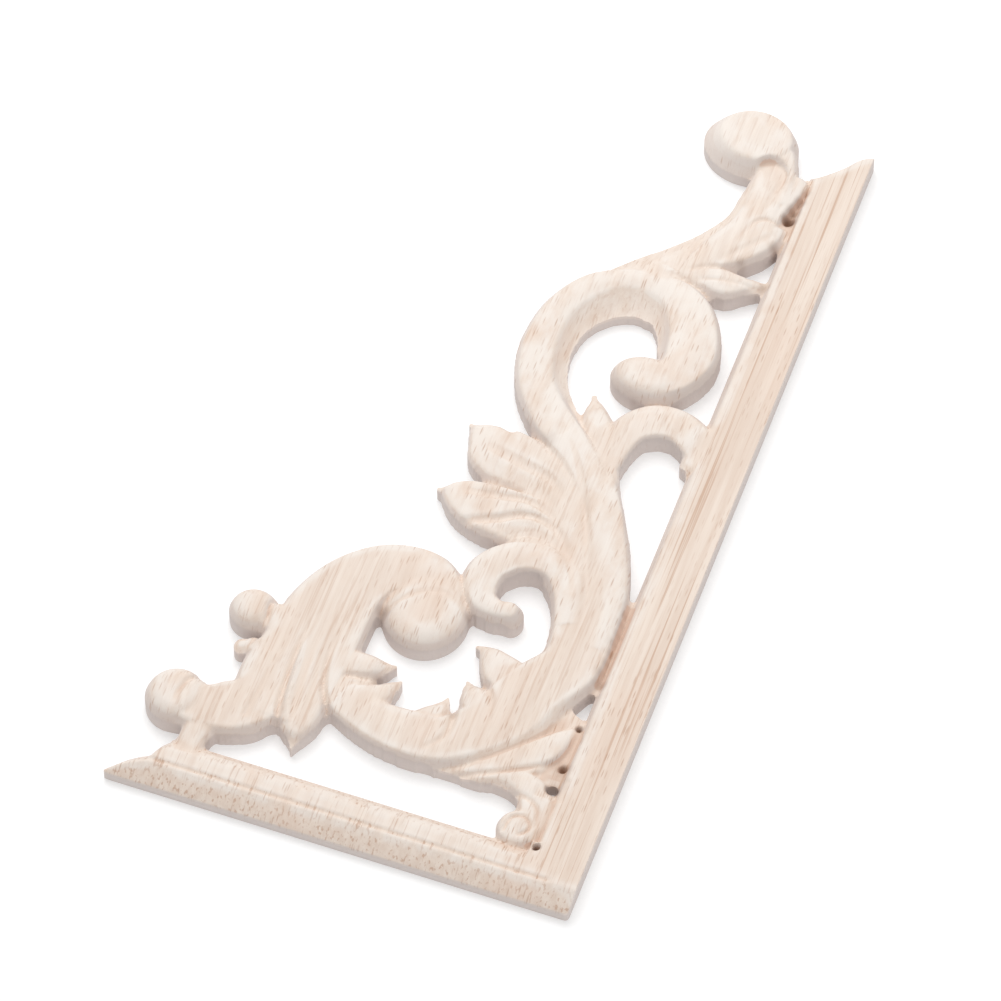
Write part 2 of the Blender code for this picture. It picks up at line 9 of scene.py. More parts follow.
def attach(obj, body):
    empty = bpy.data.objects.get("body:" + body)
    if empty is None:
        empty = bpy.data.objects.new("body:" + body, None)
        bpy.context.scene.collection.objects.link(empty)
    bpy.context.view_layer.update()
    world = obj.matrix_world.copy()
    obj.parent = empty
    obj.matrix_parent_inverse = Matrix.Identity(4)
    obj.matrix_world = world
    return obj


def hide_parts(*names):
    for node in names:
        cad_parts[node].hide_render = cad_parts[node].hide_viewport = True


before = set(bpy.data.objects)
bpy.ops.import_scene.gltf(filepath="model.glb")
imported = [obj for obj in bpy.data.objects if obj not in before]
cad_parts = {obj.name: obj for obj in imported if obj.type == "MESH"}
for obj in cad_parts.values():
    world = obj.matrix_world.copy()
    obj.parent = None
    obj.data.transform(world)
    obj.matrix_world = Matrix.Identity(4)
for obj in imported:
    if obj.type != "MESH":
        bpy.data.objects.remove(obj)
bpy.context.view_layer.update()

# The carving is laid out in drawing units, with the outer corner at zero, the stile along +Y and
# the foot along -X. FIT turns a drawing unit into metres, and CORNER moves the origin into the
# corner block.
LENGTH = 0.200
THICKNESS = 0.008
DRAWN_LENGTH = 202.1
FIT = LENGTH / DRAWN_LENGTH
CORNER = 5.8

# Heights above the back, in drawing units
WALL = 3.0
FRONT_WALL = 2.3
FACE = 5.4
LEAF = 6.0
CREST = 6.8
BALL = THICKNESS / FIT
LOWEST = 0.6

# Widths, in drawing units
STILE_WIDTH = 11.6
FOOT_DEPTH = 11.6
SHOULDER = 1.6

# Share of a form's height that its shoulders reach, the rest being its soft crown
LIFT = 0.88

# The rounded front edge and the fine groove behind it, in drawing units
FRONT_REACH = 4.4
FRONT_BEND = 0.82
QUIRK_AT = 4.8
QUIRK_REACH = 0.55
QUIRK_DEPTH = 0.7

# How paths are cut and forms are joined, in drawing units
PATH_STEP = 0.6
BLEND = 0.35
CRISP_BLEND = 0.15
JOIN_REACH = 0.6
END_SLACK = 0.001
FAR_OFF = 99.0
NO_HEIGHT = -9.0

# How many points are measured against a path at once
CHUNK = 4000

# The mesh: its cell and its field (left, right, low, high) in drawing units, and its smoothing
CELL = 0.375
FIELD = (-103.0, 1.0, -1.0, 203.2)
SNAP = 0.05
EDGE_TURNS = 2
RIM_TURNS = 3
WALL_LEVEL = 0.5
SHARP_ANGLE = 48

# The values stored on the mesh
CLOSE_TURNS = 20
WIDE_TURNS = 80
CLOSE_GAIN = 1.7
WIDE_GAIN = 0.25
# Most painted shade round a through hole, and the share of the face's painted shade put on the
# walls
HOLE_SHADE = 0.45
WALL_SHADE = 0.6

# Screen colours of the wood, and of the highlight and shade painted on it
GRAIN_DARK = (225, 206, 191)
GRAIN_LIGHT = (235, 220, 207)
FIBRE = (210, 186, 168)
STREAK = (201, 169, 147)
PATCH = (230, 206, 189)
# Painted highlight on the ridges
RIDGE_HIGHLIGHT = (240, 233, 226)
# Painted shade in the hollows
HOLLOW_SHADE = (212, 184, 165)
# Painted shade on sloping shoulders, warm and pale
SLOPE_SHADE_WARM = (222, 194, 178)
SLOPE_SHADE_PALE = (224, 213, 207)
# Painted shade on upright walls
UPRIGHT_SHADE = (212, 202, 198)
PORE = (180, 139, 111)
# Painted shade for deep corners, pits and drill marks
PAINTED_SHADE_COLOUR = (124, 84, 54)

# The floor, in metres, and how light it is
FLOOR_REACH = 3.0
FLOOR_DROP = 0.0001
FLOOR_SHADE = 0.72
FLOOR_GLOW = 0.34

# The light of the room, and the lamps: name, place, size and power
ROOM_LIGHT = 0.5
LAMPS = (("key", (-0.25, 0.45, 0.8), 0.7, 5.4), ("fill", (0.5, -0.3, 0.7), 0.8, 1.5))

# The view of the photograph
VIEW_TURN = 19.7
VIEW_HEIGHT = 56.3
LENS = 250.0
VIEW_WIDTH = 0.2064
AIM = (-0.0401, 0.0826, 0.003)


def spline(stations, step=PATH_STEP):
    """Run a smooth curve through the stations and cut it at about one step between cuts."""
    points = np.array(stations, float)
    rows = []
    for index in range(len(points) - 1):
        before = points[max(index - 1, 0)]
        here = points[index]
        there = points[index + 1]
        after = points[min(index + 2, len(points) - 1)]
        cuts = max(1, round(math.hypot(there[0] - here[0], there[1] - here[1]) / step))
        slope_in = (there - before) / 2
        slope_out = (after - here) / 2
        for cut in range(cuts):
            t = cut / cuts
            cube = 2 * here - 2 * there + slope_in + slope_out
            square = -3 * here + 3 * there - 2 * slope_in - slope_out
            rows.append(((cube * t + square) * t + slope_in) * t + here)
    rows.append(points[-1])
    return np.array(rows)


def near_path(x, y, rows):
    """Find the nearest place on a path for each point.

    Gives the distance to its side, the path's values there, and how far the point is past its ends.
    """
    ax, ay = rows[:-1, 0], rows[:-1, 1]
    bx, by = rows[1:, 0] - ax, rows[1:, 1] - ay
    long = np.maximum(bx * bx + by * by, 1e-9)
    side = np.empty(len(x))
    past = np.empty(len(x))
    values = np.empty((len(x), rows.shape[1]))
    for first in range(0, len(x), CHUNK):
        some = slice(first, first + CHUNK)
        px, py = x[some, None], y[some, None]
        free = ((px - ax) * bx + (py - ay) * by) / long
        t = np.clip(free, 0, 1)
        dx = px - ax - t * bx
        dy = py - ay - t * by
        best = np.argmin(dx * dx + dy * dy, axis=1)
        pick = (np.arange(len(px)), best)
        away = np.hypot(dx[pick], dy[pick])
        turn = bx[best] * dy[pick] - by[best] * dx[pick]
        side[some] = np.where(turn >= 0, away, -away)
        share = t[pick][:, None]
        values[some] = rows[best] * (1 - share) + rows[best + 1] * share
        reach = np.sqrt(long[best])
        over = np.where((best == len(ax) - 1) & (free[pick] > 1), (free[pick] - 1) * reach, 0)
        under = np.where((best == 0) & (free[pick] < 0), -free[pick] * reach, 0)
        past[some] = over - under
    return side, values, past


def smooth_max(a, b, blend):
    """Take the higher of two heights, rounding the crease between them."""
    soft = np.maximum(blend - np.abs(a - b), 0)
    return np.maximum(a, b) + soft * soft / (4 * blend)


def shoulder_rise(share):
    """Share of a shoulder's height at a share of its width: nearly straight, with a crisp top."""
    share = np.clip(share, 0, 1)
    return share * (1.35 - 0.35 * share)


def bead(across, values):
    """Heights across a rounded leaf or stem: shoulder, soft crown, shoulder."""
    width, crest = values[:, 2], values[:, 3]
    first = np.minimum(values[:, 4] if values.shape[1] > 4 else SHOULDER, width * 0.42)
    second = np.minimum(SHOULDER, width * 0.42)
    crown = WALL + (crest - WALL) * np.minimum(1.0, width / 6)
    one = shoulder_rise(across / first)
    two = shoulder_rise((width - across) / second)
    body = np.clip((across - first) / np.maximum(width - first - second, 0.01), 0, 1)
    return WALL + (crown - WALL) * (LIFT * np.minimum(one, two) + (1 - LIFT) * np.sin(np.pi * body))


def band(across, values):
    """Heights across a scroll: outer shoulder, raised band, then a hollow to the inner edge."""
    width, crest = values[:, 2], values[:, 3]
    hollow = np.minimum(np.maximum(values[:, 4], 0.3), width * 0.5)
    shoulder = np.minimum(SHOULDER, width * 0.3)
    body = width - hollow - shoulder
    share = np.clip((across - shoulder) / body, 0, 1)
    rise = LIFT * shoulder_rise(across / shoulder) + (1 - LIFT) * np.sin(np.pi * share)
    inside = np.clip((across - width + hollow) / hollow, 0, 1)
    return WALL + (crest - WALL) * rise * (1 - inside) ** 1.4


class Wood:
    """The plan edge and the carved height of the wood at a set of points."""

    def __init__(self, x, y):
        self.x = x
        self.y = y
        self.edge = np.full(len(x), FAR_OFF)
        self.top = np.full(len(x), NO_HEIGHT)
        # How dark the wood is painted, as painted shade in deep corners and pits
        self.dark = np.zeros(len(x))

    def beside(self, stations, widths, margin):
        """Find the points within some widths and a margin of a path, and where they lie on it."""
        rows = spline(stations)
        reach = rows[:, 2].max() * widths + margin
        inside = (self.x > rows[:, 0].min() - reach) & (self.x < rows[:, 0].max() + reach)
        inside &= (self.y > rows[:, 1].min() - reach) & (self.y < rows[:, 1].max() + reach)
        pick = np.nonzero(inside)[0]
        return pick, *near_path(self.x[pick], self.y[pick], rows)

    def add(self, pick, edge, top, blend=BLEND):
        """Unite one form with the wood."""
        self.edge[pick] = np.minimum(self.edge[pick], edge)
        close = edge < JOIN_REACH
        pick = pick[close]
        self.top[pick] = smooth_max(self.top[pick], top[close], blend)

    def ribbon(self, stations, section=bead, end="round", flip=False):
        """Add a form swept along stations of centre x, centre y, width and crest height.

        A fifth value is the width of a bead's first shoulder or of a band's hollow.
        """
        pick, side, values, past = self.beside(stations, 0.5, 2)
        half = values[:, 2] / 2
        edge = np.maximum(np.abs(side) - half, -past - END_SLACK)
        if end == "flat":
            edge = np.maximum(edge, past - END_SLACK)
        across = half + side if flip else half - side
        across = np.clip(across, 0, values[:, 2])
        self.add(pick, edge, section(across, values))

    def dome(self, x, y, reach_x, reach_y, crest, shoulder=4.0, lean=(0.0, 0.0), crisp=0.0):
        """Add a boss with an upright wall and a domed top, its shoulder wide away from its lean."""
        pick = np.nonzero((abs(self.x - x) < reach_x + 2) & (abs(self.y - y) < reach_y + 2))[0]
        small = min(reach_x, reach_y)
        off_x, off_y = self.x[pick] - x, self.y[pick] - y
        away = np.hypot(off_x / reach_x, off_y / reach_y)
        toward = (off_x * lean[0] + off_y * lean[1]) / (small * np.maximum(away, 0.05))
        share = np.clip((1 - away) * small / (shoulder * (1 - toward)), 0, 1)
        rise = crisp * shoulder_rise(share) + (1 - crisp) * np.sqrt(1 - (1 - share) ** 2)
        crown = 1 - np.clip(away, 0, 1) ** 2
        self.add(pick, (away - 1) * small, WALL + (crest - WALL) * (0.85 * rise + 0.15 * crown))

    def flute(self, stations, sharp=0.0):
        """Cut a channel along stations of x, y, width and depth: round, or a V as far as sharp."""
        pick, side, values, _ = self.beside(stations, 0.5, 1)
        away = np.clip(np.abs(side) / (values[:, 2] / 2), 0, 1)
        round_cut = (1 - away * away) ** 2
        vee_cut = (1 - away) ** 1.4
        self.top[pick] -= values[:, 3] * (round_cut * (1 - sharp) + vee_cut * sharp)

    def ridge(self, stations):
        """Raise a soft ridge along stations of x, y, width and height."""
        pick, side, values, _ = self.beside(stations, 0.5, 1)
        away = np.clip(np.abs(side) / (values[:, 2] / 2), 0, 1)
        self.top[pick] += values[:, 3] * (1 - away * away) ** 2

    def step(self, stations):
        """Sink the wood left of a line of x, y, width and depth, so that the line is an edge."""
        pick, side, values, past = self.beside(stations, 1, 1)
        away = np.clip(side / values[:, 2], 0, 1)
        fall = np.where(side > 0, np.clip(side / 0.5, 0, 1) * (1 - away) ** 1.5, 0)
        self.top[pick] -= values[:, 3] * fall * (past == 0)

    def sink(self, stations):
        """Cut a level channel with steep sides along stations of x, y, width and floor height."""
        pick, side, values, _ = self.beside(stations, 0.5, 2)
        wall = np.clip((np.abs(side) - values[:, 2] / 2) / 0.9, 0, 1)
        level = values[:, 3] + 4 * wall * wall
        self.top[pick] = -smooth_max(-self.top[pick], -level, 0.3)

    def pit(self, x, y, radius, bottom, through=False):
        """Drill a pit or a hole, with painted shade round it."""
        pick = np.nonzero((abs(self.x - x) < radius + 1.5) & (abs(self.y - y) < radius + 1.5))[0]
        away = np.hypot(self.x[pick] - x, self.y[pick] - y)
        if through:
            self.edge[pick] = np.maximum(self.edge[pick], radius - away)
        cone = bottom + np.clip((away - radius * 0.6) / (radius * 0.5), 0, 1) * 4
        self.top[pick] = np.minimum(self.top[pick], np.maximum(cone, bottom))
        pit_shade = np.clip(1.5 - away / radius, 0, HOLE_SHADE if through else 1)
        self.dark[pick] = np.maximum(self.dark[pick], pit_shade)

    def paint_shade(self, x, y, reach, share):
        """Paint shade on the wood round a deep corner."""
        away = np.hypot(self.x - x, self.y - y)
        self.dark = np.maximum(self.dark, share * np.clip(1 - away / reach, 0, 1))


def front_moulding(y):
    """Height of the rounded front edge, along the foot and across the end of the stile."""
    return FRONT_WALL + (FACE - FRONT_WALL) * np.clip(y / FRONT_REACH, 0, 1) ** FRONT_BEND


def quirk_depth(y):
    """Depth of the fine groove that runs along the foot."""
    return QUIRK_DEPTH * np.clip(1 - np.abs(y - QUIRK_AT) / QUIRK_REACH, 0, 1)


def lay_stile(wood):
    """Add the long flat leg with its swept top."""
    sweep = spline([(0.0, 199.6), (-2.0, 198.8), (-3.6, 197.4), (-5.6, 194.9), (-8.4, 192.1),
                    (-10.4, 190.4), (-12.4, 189.6), (-16.0, 189.0)])
    pick = np.nonzero(wood.x > -STILE_WIDTH - 2)[0]
    x, y = wood.x[pick], wood.y[pick]
    top = np.interp(-x, -sweep[:, 0], sweep[:, 1])
    slope = np.interp(-x, [0, 2, 4, 8, 12], [0.35, 0.6, 1.1, 0.95, 0.3])
    above = (y - top) / np.hypot(1, slope)
    inner = -STILE_WIDTH - x
    edge = np.maximum.reduce([x, inner, above, -y])
    depth = np.minimum(np.where(y < FOOT_DEPTH + 1.0, 9.0, -inner), -above)
    lift = shoulder_rise(depth / SHOULDER)
    top = np.minimum(WALL + (FACE - WALL) * lift, front_moulding(y))
    wood.add(pick, edge, top, CRISP_BLEND)


def lay_foot(wood):
    """Add the moulded short leg: ovolo, groove, fillet and chamfer, with a shaped outer end."""
    rise = spline([(-88.0, 12.9), (-89.6, 11.4), (-90.9, 10.0), (-91.8, 8.3)])
    swell = spline([(-92.2, 7.0), (-94.0, 6.1), (-96.4, 4.4), (-98.6, 2.3), (-100.4, 0.4),
                    (-101.4, -0.6)])
    line = np.concatenate([rise, swell])
    pick = np.nonzero(wood.y < FOOT_DEPTH + 3)[0]
    x, y = wood.x[pick], wood.y[pick]
    top = np.interp(-x, -line[:, 0], line[:, 1], left=40.0)
    end = (y - top) * 0.72
    edge = np.maximum.reduce([y - FOOT_DEPTH, -y, end, x + 1.0])
    chamfer = np.interp(y, [0, 8.0, 8.5, 10.0, FOOT_DEPTH], [9.0, 5.6, 5.25, 4.6, WALL])
    height = np.minimum(front_moulding(y), chamfer) - quirk_depth(y) * (x < -12.5)
    cap = 2.3 + 3.1 * shoulder_rise(-end / 2.4)
    wood.add(pick, edge, np.minimum(height, cap), CRISP_BLEND)


def lay_quirk(wood):
    """Run the fine groove of the foot a little way into the stile."""
    pick = np.nonzero((wood.y < 6) & (wood.x > -13))[0]
    x, y = wood.x[pick], wood.y[pick]
    wood.top[pick] -= quirk_depth(y) * np.clip((-5.2 - x) / 1.5, 0, 1)


def lay_ground(wood):
    """Add the low ground in the angles beside the stile, each patch inside a ring of corners."""
    for outline, height in (
            ([(-18.0, 10.0), (-9.0, 10.0), (-9.0, 42.8), (-13.0, 42.4), (-17.0, 38.0)], 3.6),
            ([(-30.0, 25.0), (-16.0, 22.0), (-12.2, 43.6), (-15.6, 45.2), (-30.0, 29.0)], 3.7),
            ([(-16.0, 174.0), (-9.0, 170.5), (-9.0, 188.0), (-16.0, 188.0)], 4.3),
            ([(-16.0, 50.6), (-9.0, 50.6), (-9.0, 74.0), (-14.0, 74.0)], 3.5)):
        corners = np.array(outline)
        low, high = corners.min(axis=0) - 1, corners.max(axis=0) + 1
        inside = (wood.x > low[0]) & (wood.x < high[0]) & (wood.y > low[1]) & (wood.y < high[1])
        pick = np.nonzero(inside)[0]
        x, y = wood.x[pick], wood.y[pick]
        edge = np.full(len(pick), NO_HEIGHT)
        for here, there in zip(corners, np.roll(corners, -1, axis=0)):
            along = (there - here) / np.hypot(*(there - here))
            edge = np.maximum(edge, (x - here[0]) * along[1] - (y - here[1]) * along[0])
        wood.add(pick, edge, np.full(len(pick), height), CRISP_BLEND)


def lay_scrolls(wood):
    """Add the scrolls, stems and leaves of the openwork."""
    # Upper scroll
    wood.ribbon([
        (-31.0, 98.0, 11.0, 6.4, 0.8), (-37.5, 106.5, 11.6, 6.7, 1.8),
        (-43.1, 112.4, 12.0, 6.8, 3.0), (-47.5, 118.4, 12.2, CREST, 3.8),
        (-49.8, 125.2, 12.2, CREST, 4.0), (-50.1, 131.5, 11.9, CREST, 4.2),
        (-48.6, 138.2, 12.0, CREST, 4.8), (-44.5, 144.3, 12.4, CREST, 5.4),
        (-38.4, 147.8, 12.0, CREST, 6.2), (-32.6, 148.4, 12.6, CREST, 5.6),
        (-27.4, 147.2, 14.2, 7.0, 4.6), (-23.2, 142.5, 14.4, 7.2, 3.4),
        (-21.0, 135.8, 14.4, 7.4, 2.8), (-22.0, 130.6, 12.6, 7.4, 2.6),
        (-24.6, 128.0, 11.6, 7.2, 2.7)], section=band, end="flat")
    # Upper ball
    wood.dome(-27.0, 127.4, 8.2, 5.6, BALL - 0.4, shoulder=3.0)
    # Top stem
    wood.ribbon([
        (-44.0, 147.0, 8.4, 5.6, 3.0), (-36.8, 152.9, 11.0, 6.2, 4.6),
        (-30.0, 158.6, 11.8, 6.4, 4.4), (-23.8, 164.8, 12.8, 6.4, 3.6),
        (-19.6, 172.0, 12.6, 6.4, 3.0), (-18.6, 179.5, 12.0, 6.3, 2.8),
        (-18.4, 186.0, 10.8, 6.8, 2.4), (-19.4, 190.5, 10.0, 7.4, 2.0),
        (-22.0, 194.0, 9.0, 7.8, 2.0)])
    # Top knob
    wood.dome(-26.2, 193.7, 10.4, 8.4, BALL, shoulder=2.3, lean=(0.30, 0.20), crisp=1.0)
    # Top leaf high
    wood.ribbon([
        (-18.0, 173.0, 6.0, 6.1), (-16.6, 177.7, 8.0, 6.1), (-14.8, 182.7, 8.0, 6.0),
        (-13.2, 187.2, 7.0, 5.7)], end="flat")
    # Top leaf middle
    wood.ribbon([
        (-27.0, 160.0, 8.0, 6.2), (-20.9, 165.2, 10.4, 6.4), (-16.6, 169.6, 9.8, 6.3),
        (-13.2, 173.2, 5.8, 5.8), (-10.8, 175.0, 2.8, 5.3)])
    # Top leaf low
    wood.ribbon([
        (-31.0, 155.4, 6.6, 6.2), (-24.0, 156.6, 8.4, 6.4), (-19.4, 156.5, 8.8, 6.2),
        (-15.0, 157.9, 5.4, 5.6), (-11.0, 159.0, 3.0, 5.1)])
    # Arch
    wood.ribbon([
        (-29.0, 96.0, 8.0, 6.0, 0.9), (-28.4, 106.0, 8.0, 6.0, 0.9), (-26.6, 113.8, 9.0, 6.2, 0.9),
        (-22.6, 117.6, 9.8, 6.3, 0.9), (-17.6, 118.4, 9.6, 6.3, 0.9), (-13.0, 116.4, 9.4, 6.0, 0.9),
        (-9.6, 113.0, 8.4, 5.2, 0.9)], end="flat", flip=True)
    # Arch end
    wood.ribbon([
        (-10.0, 114.0, 8.0, 5.4), (-11.4, 110.6, 6.6, 5.2), (-12.6, 107.9, 4.0, 5.0)], end="flat")
    # Spur
    wood.ribbon([
        (-29.0, 100.0, 6.6, 5.8), (-31.2, 107.5, 8.0, 5.8), (-33.3, 113.2, 7.6, 5.6),
        (-35.1, 117.2, 5.2, 5.2), (-36.4, 120.2, 1.8, 4.6)])
    # Main stem
    wood.ribbon([
        (-60.0, 32.0, 9.6, 5.8, 1.2), (-52.4, 29.2, 11.0, LEAF, 1.2),
        (-45.0, 28.4, 12.4, LEAF, 1.2), (-38.0, 29.0, 12.8, LEAF, 1.5),
        (-31.8, 32.8, 15.0, 6.1, 2.8), (-26.7, 38.8, 17.6, 6.2, 3.2), (-22.9, 46.8, 16.2, 6.4, 2.6),
        (-18.8, 54.5, 14.6, 6.5, 1.6), (-19.0, 63.5, 15.0, 6.5, 1.2), (-21.0, 72.6, 17.8, 6.4, 1.2),
        (-25.4, 81.0, 21.2, 6.3, 1.2), (-31.3, 90.7, 22.6, 6.2, 1.2),
        (-34.2, 101.0, 20.0, 6.0, 1.2)], end="flat", flip=True)
    # Raised strip beside the drop-shaped gap
    wood.ribbon([
        (-15.6, 60.0, 7.2, 6.5, 1.1), (-16.4, 70.0, 8.0, CREST, 1.1), (-19.4, 80.0, 9.2, 6.9, 1.1),
        (-23.6, 90.0, 9.6, 7.0, 1.1), (-28.2, 97.6, 10.0, 7.0, 1.2), (-33.4, 103.0, 10.6, 6.9, 1.4),
        (-38.2, 107.2, 11.0, 6.8, 1.6)], end="flat", flip=True)
    # Leaf upper
    wood.ribbon([
        (-29.0, 96.0, 13.0, 5.9), (-36.0, 97.8, 14.0, 6.0), (-44.0, 98.8, 15.0, 6.0),
        (-50.6, 99.7, 14.4, 5.9), (-54.4, 102.2, 10.0, 5.8), (-56.8, 103.8, 5.4, 5.3),
        (-58.3, 104.8, 1.6, 4.9)])
    # Leaf lower
    wood.ribbon([
        (-29.0, 85.0, 13.6, 6.4), (-36.0, 85.0, 14.0, 6.4), (-44.5, 85.3, 14.4, 6.3),
        (-51.0, 86.1, 12.8, 6.2), (-55.4, 86.8, 8.8, 5.8), (-57.8, 87.2, 4.6, 5.3),
        (-59.2, 87.4, 1.6, 4.9)])
    # Hook
    wood.ribbon([
        (-21.8, 64.0, 8.6, 6.6, 0.9), (-24.6, 71.4, 9.0, 7.0, 0.9), (-28.6, 75.9, 8.9, 7.1, 0.9),
        (-33.6, 76.9, 8.7, 7.1, 0.9), (-38.7, 75.3, 9.2, 7.0, 1.0), (-42.4, 71.2, 9.6, 7.0, 1.1),
        (-42.7, 66.4, 9.2, 7.0, 1.2), (-40.6, 63.1, 7.8, 6.9, 1.2), (-37.4, 62.1, 6.4, 6.8, 1.3),
        (-35.0, 62.5, 6.4, 6.8, 1.4)])
    # Web between the two left teeth
    wood.ribbon([(-66.2, 31.2, 8.0, 5.7), (-61.6, 33.2, 9.4, 5.55), (-56.6, 37.2, 3.6, 5.3)])
    # Tooth 1
    wood.ribbon([
        (-25.0, 44.6, 12.0, 6.0), (-31.5, 48.8, 10.2, 5.8), (-34.9, 51.5, 6.8, 5.4),
        (-37.0, 52.9, 3.8, 5.0), (-38.5, 53.4, 1.4, 4.6)])
    # Tooth 2
    wood.ribbon([
        (-28.0, 36.0, 12.0, 6.0), (-33.6, 40.0, 9.2, 5.8), (-36.2, 42.8, 5.0, 5.2),
        (-37.6, 44.9, 1.2, 4.6)])
    # Tooth 3
    wood.ribbon([
        (-49.0, 28.0, 10.0, LEAF), (-43.8, 30.4, 9.4, 5.8), (-41.1, 34.6, 6.6, 5.4),
        (-40.0, 38.0, 3.4, 4.9), (-40.0, 40.2, 0.9, 4.4)])
    # Tooth 4
    wood.ribbon([
        (-60.0, 31.0, 9.0, 5.8), (-53.8, 35.0, 7.2, 5.6), (-51.2, 38.6, 3.6, 5.0),
        (-50.1, 40.6, 0.9, 4.4)])
    # Tooth 5
    wood.ribbon([
        (-64.0, 40.0, 9.0, 5.8), (-57.4, 41.1, 6.6, 5.6), (-54.5, 42.2, 4.2, 5.0),
        (-52.7, 43.2, 1.4, 4.4)])
    # Lower scroll
    wood.ribbon([
        (-72.6, 23.0, 19.0, 5.8), (-72.0, 32.0, 22.0, 6.1), (-70.8, 41.0, 21.2, 6.2),
        (-69.8, 50.0, 19.8, 6.4), (-67.6, 57.2, 17.4, 6.6), (-63.6, 62.6, 14.8, CREST),
        (-58.8, 65.2, 13.4, CREST), (-53.4, 65.4, 12.4, CREST), (-49.8, 62.2, 11.6, CREST),
        (-49.0, 58.0, 11.0, CREST)])
    # Lower ball
    wood.dome(-51.3, 57.6, 9.0, 9.6, 7.1, shoulder=4.2)
    # Leaf point
    wood.ribbon([
        (-68.3, 36.0, 9.0, LEAF), (-67.6, 28.0, 11.8, 5.95), (-66.8, 22.8, 9.2, 5.68),
        (-66.2, 19.2, 3.8, 5.0), (-66.1, 17.8, 1.4, 4.6)])
    # Leaf small
    wood.ribbon([(-77.0, 36.0, 10.0, LEAF), (-77.4, 27.0, 10.2, 5.9), (-77.4, 21.9, 9.2, 5.7)])
    # Curl arm
    wood.ribbon([
        (-70.0, 29.0, 10.0, 5.9), (-79.6, 22.8, 14.0, LEAF), (-86.0, 20.4, 12.0, 6.1),
        (-90.0, 20.8, 12.0, 6.3)])
    # Big curl
    wood.dome(-92.3, 21.2, 6.5, 6.5, 7.2, shoulder=3.6)
    # Curl foot
    wood.ribbon([
        (-84.6, 24.0, 10.0, 5.8), (-85.2, 16.0, 7.8, 5.6), (-85.6, 12.4, 6.8, 5.2),
        (-85.6, 8.0, 6.8, 4.8)], end="flat")
    # Small curl
    wood.dome(-84.8, 46.1, 5.2, 5.0, 6.7, shoulder=3.2)
    # Curl neck
    wood.ribbon([(-74.0, 43.0, 10.4, LEAF), (-81.6, 45.8, 8.4, LEAF)])
    # Curl spur
    wood.ribbon([(-76.0, 38.0, 10.0, 5.8), (-81.8, 37.6, 6.0, 5.4), (-83.8, 37.4, 4.2, 5.0)])
    # Corner leaf
    wood.ribbon([
        (-14.2, 13.0, 7.4, 5.2), (-13.8, 19.0, 8.6, 5.4), (-15.4, 23.2, 8.4, 5.4),
        (-20.4, 25.8, 6.8, 5.4), (-26.4, 25.2, 5.2, 5.1), (-32.4, 23.8, 3.0, 4.6),
        (-37.0, 22.9, 1.2, 4.2)])
    # Corner leaf high
    wood.ribbon([
        (-34.0, 23.6, 2.4, 4.4), (-27.0, 25.6, 7.0, 5.0), (-20.5, 30.0, 9.0, 5.4),
        (-16.0, 35.2, 7.6, 5.4), (-13.4, 40.0, 4.4, 5.1), (-12.6, 42.6, 2.2, 4.6)])
    # Small volute
    wood.dome(-15.9, 14.7, 4.5, 4.5, 5.7, shoulder=1.6)


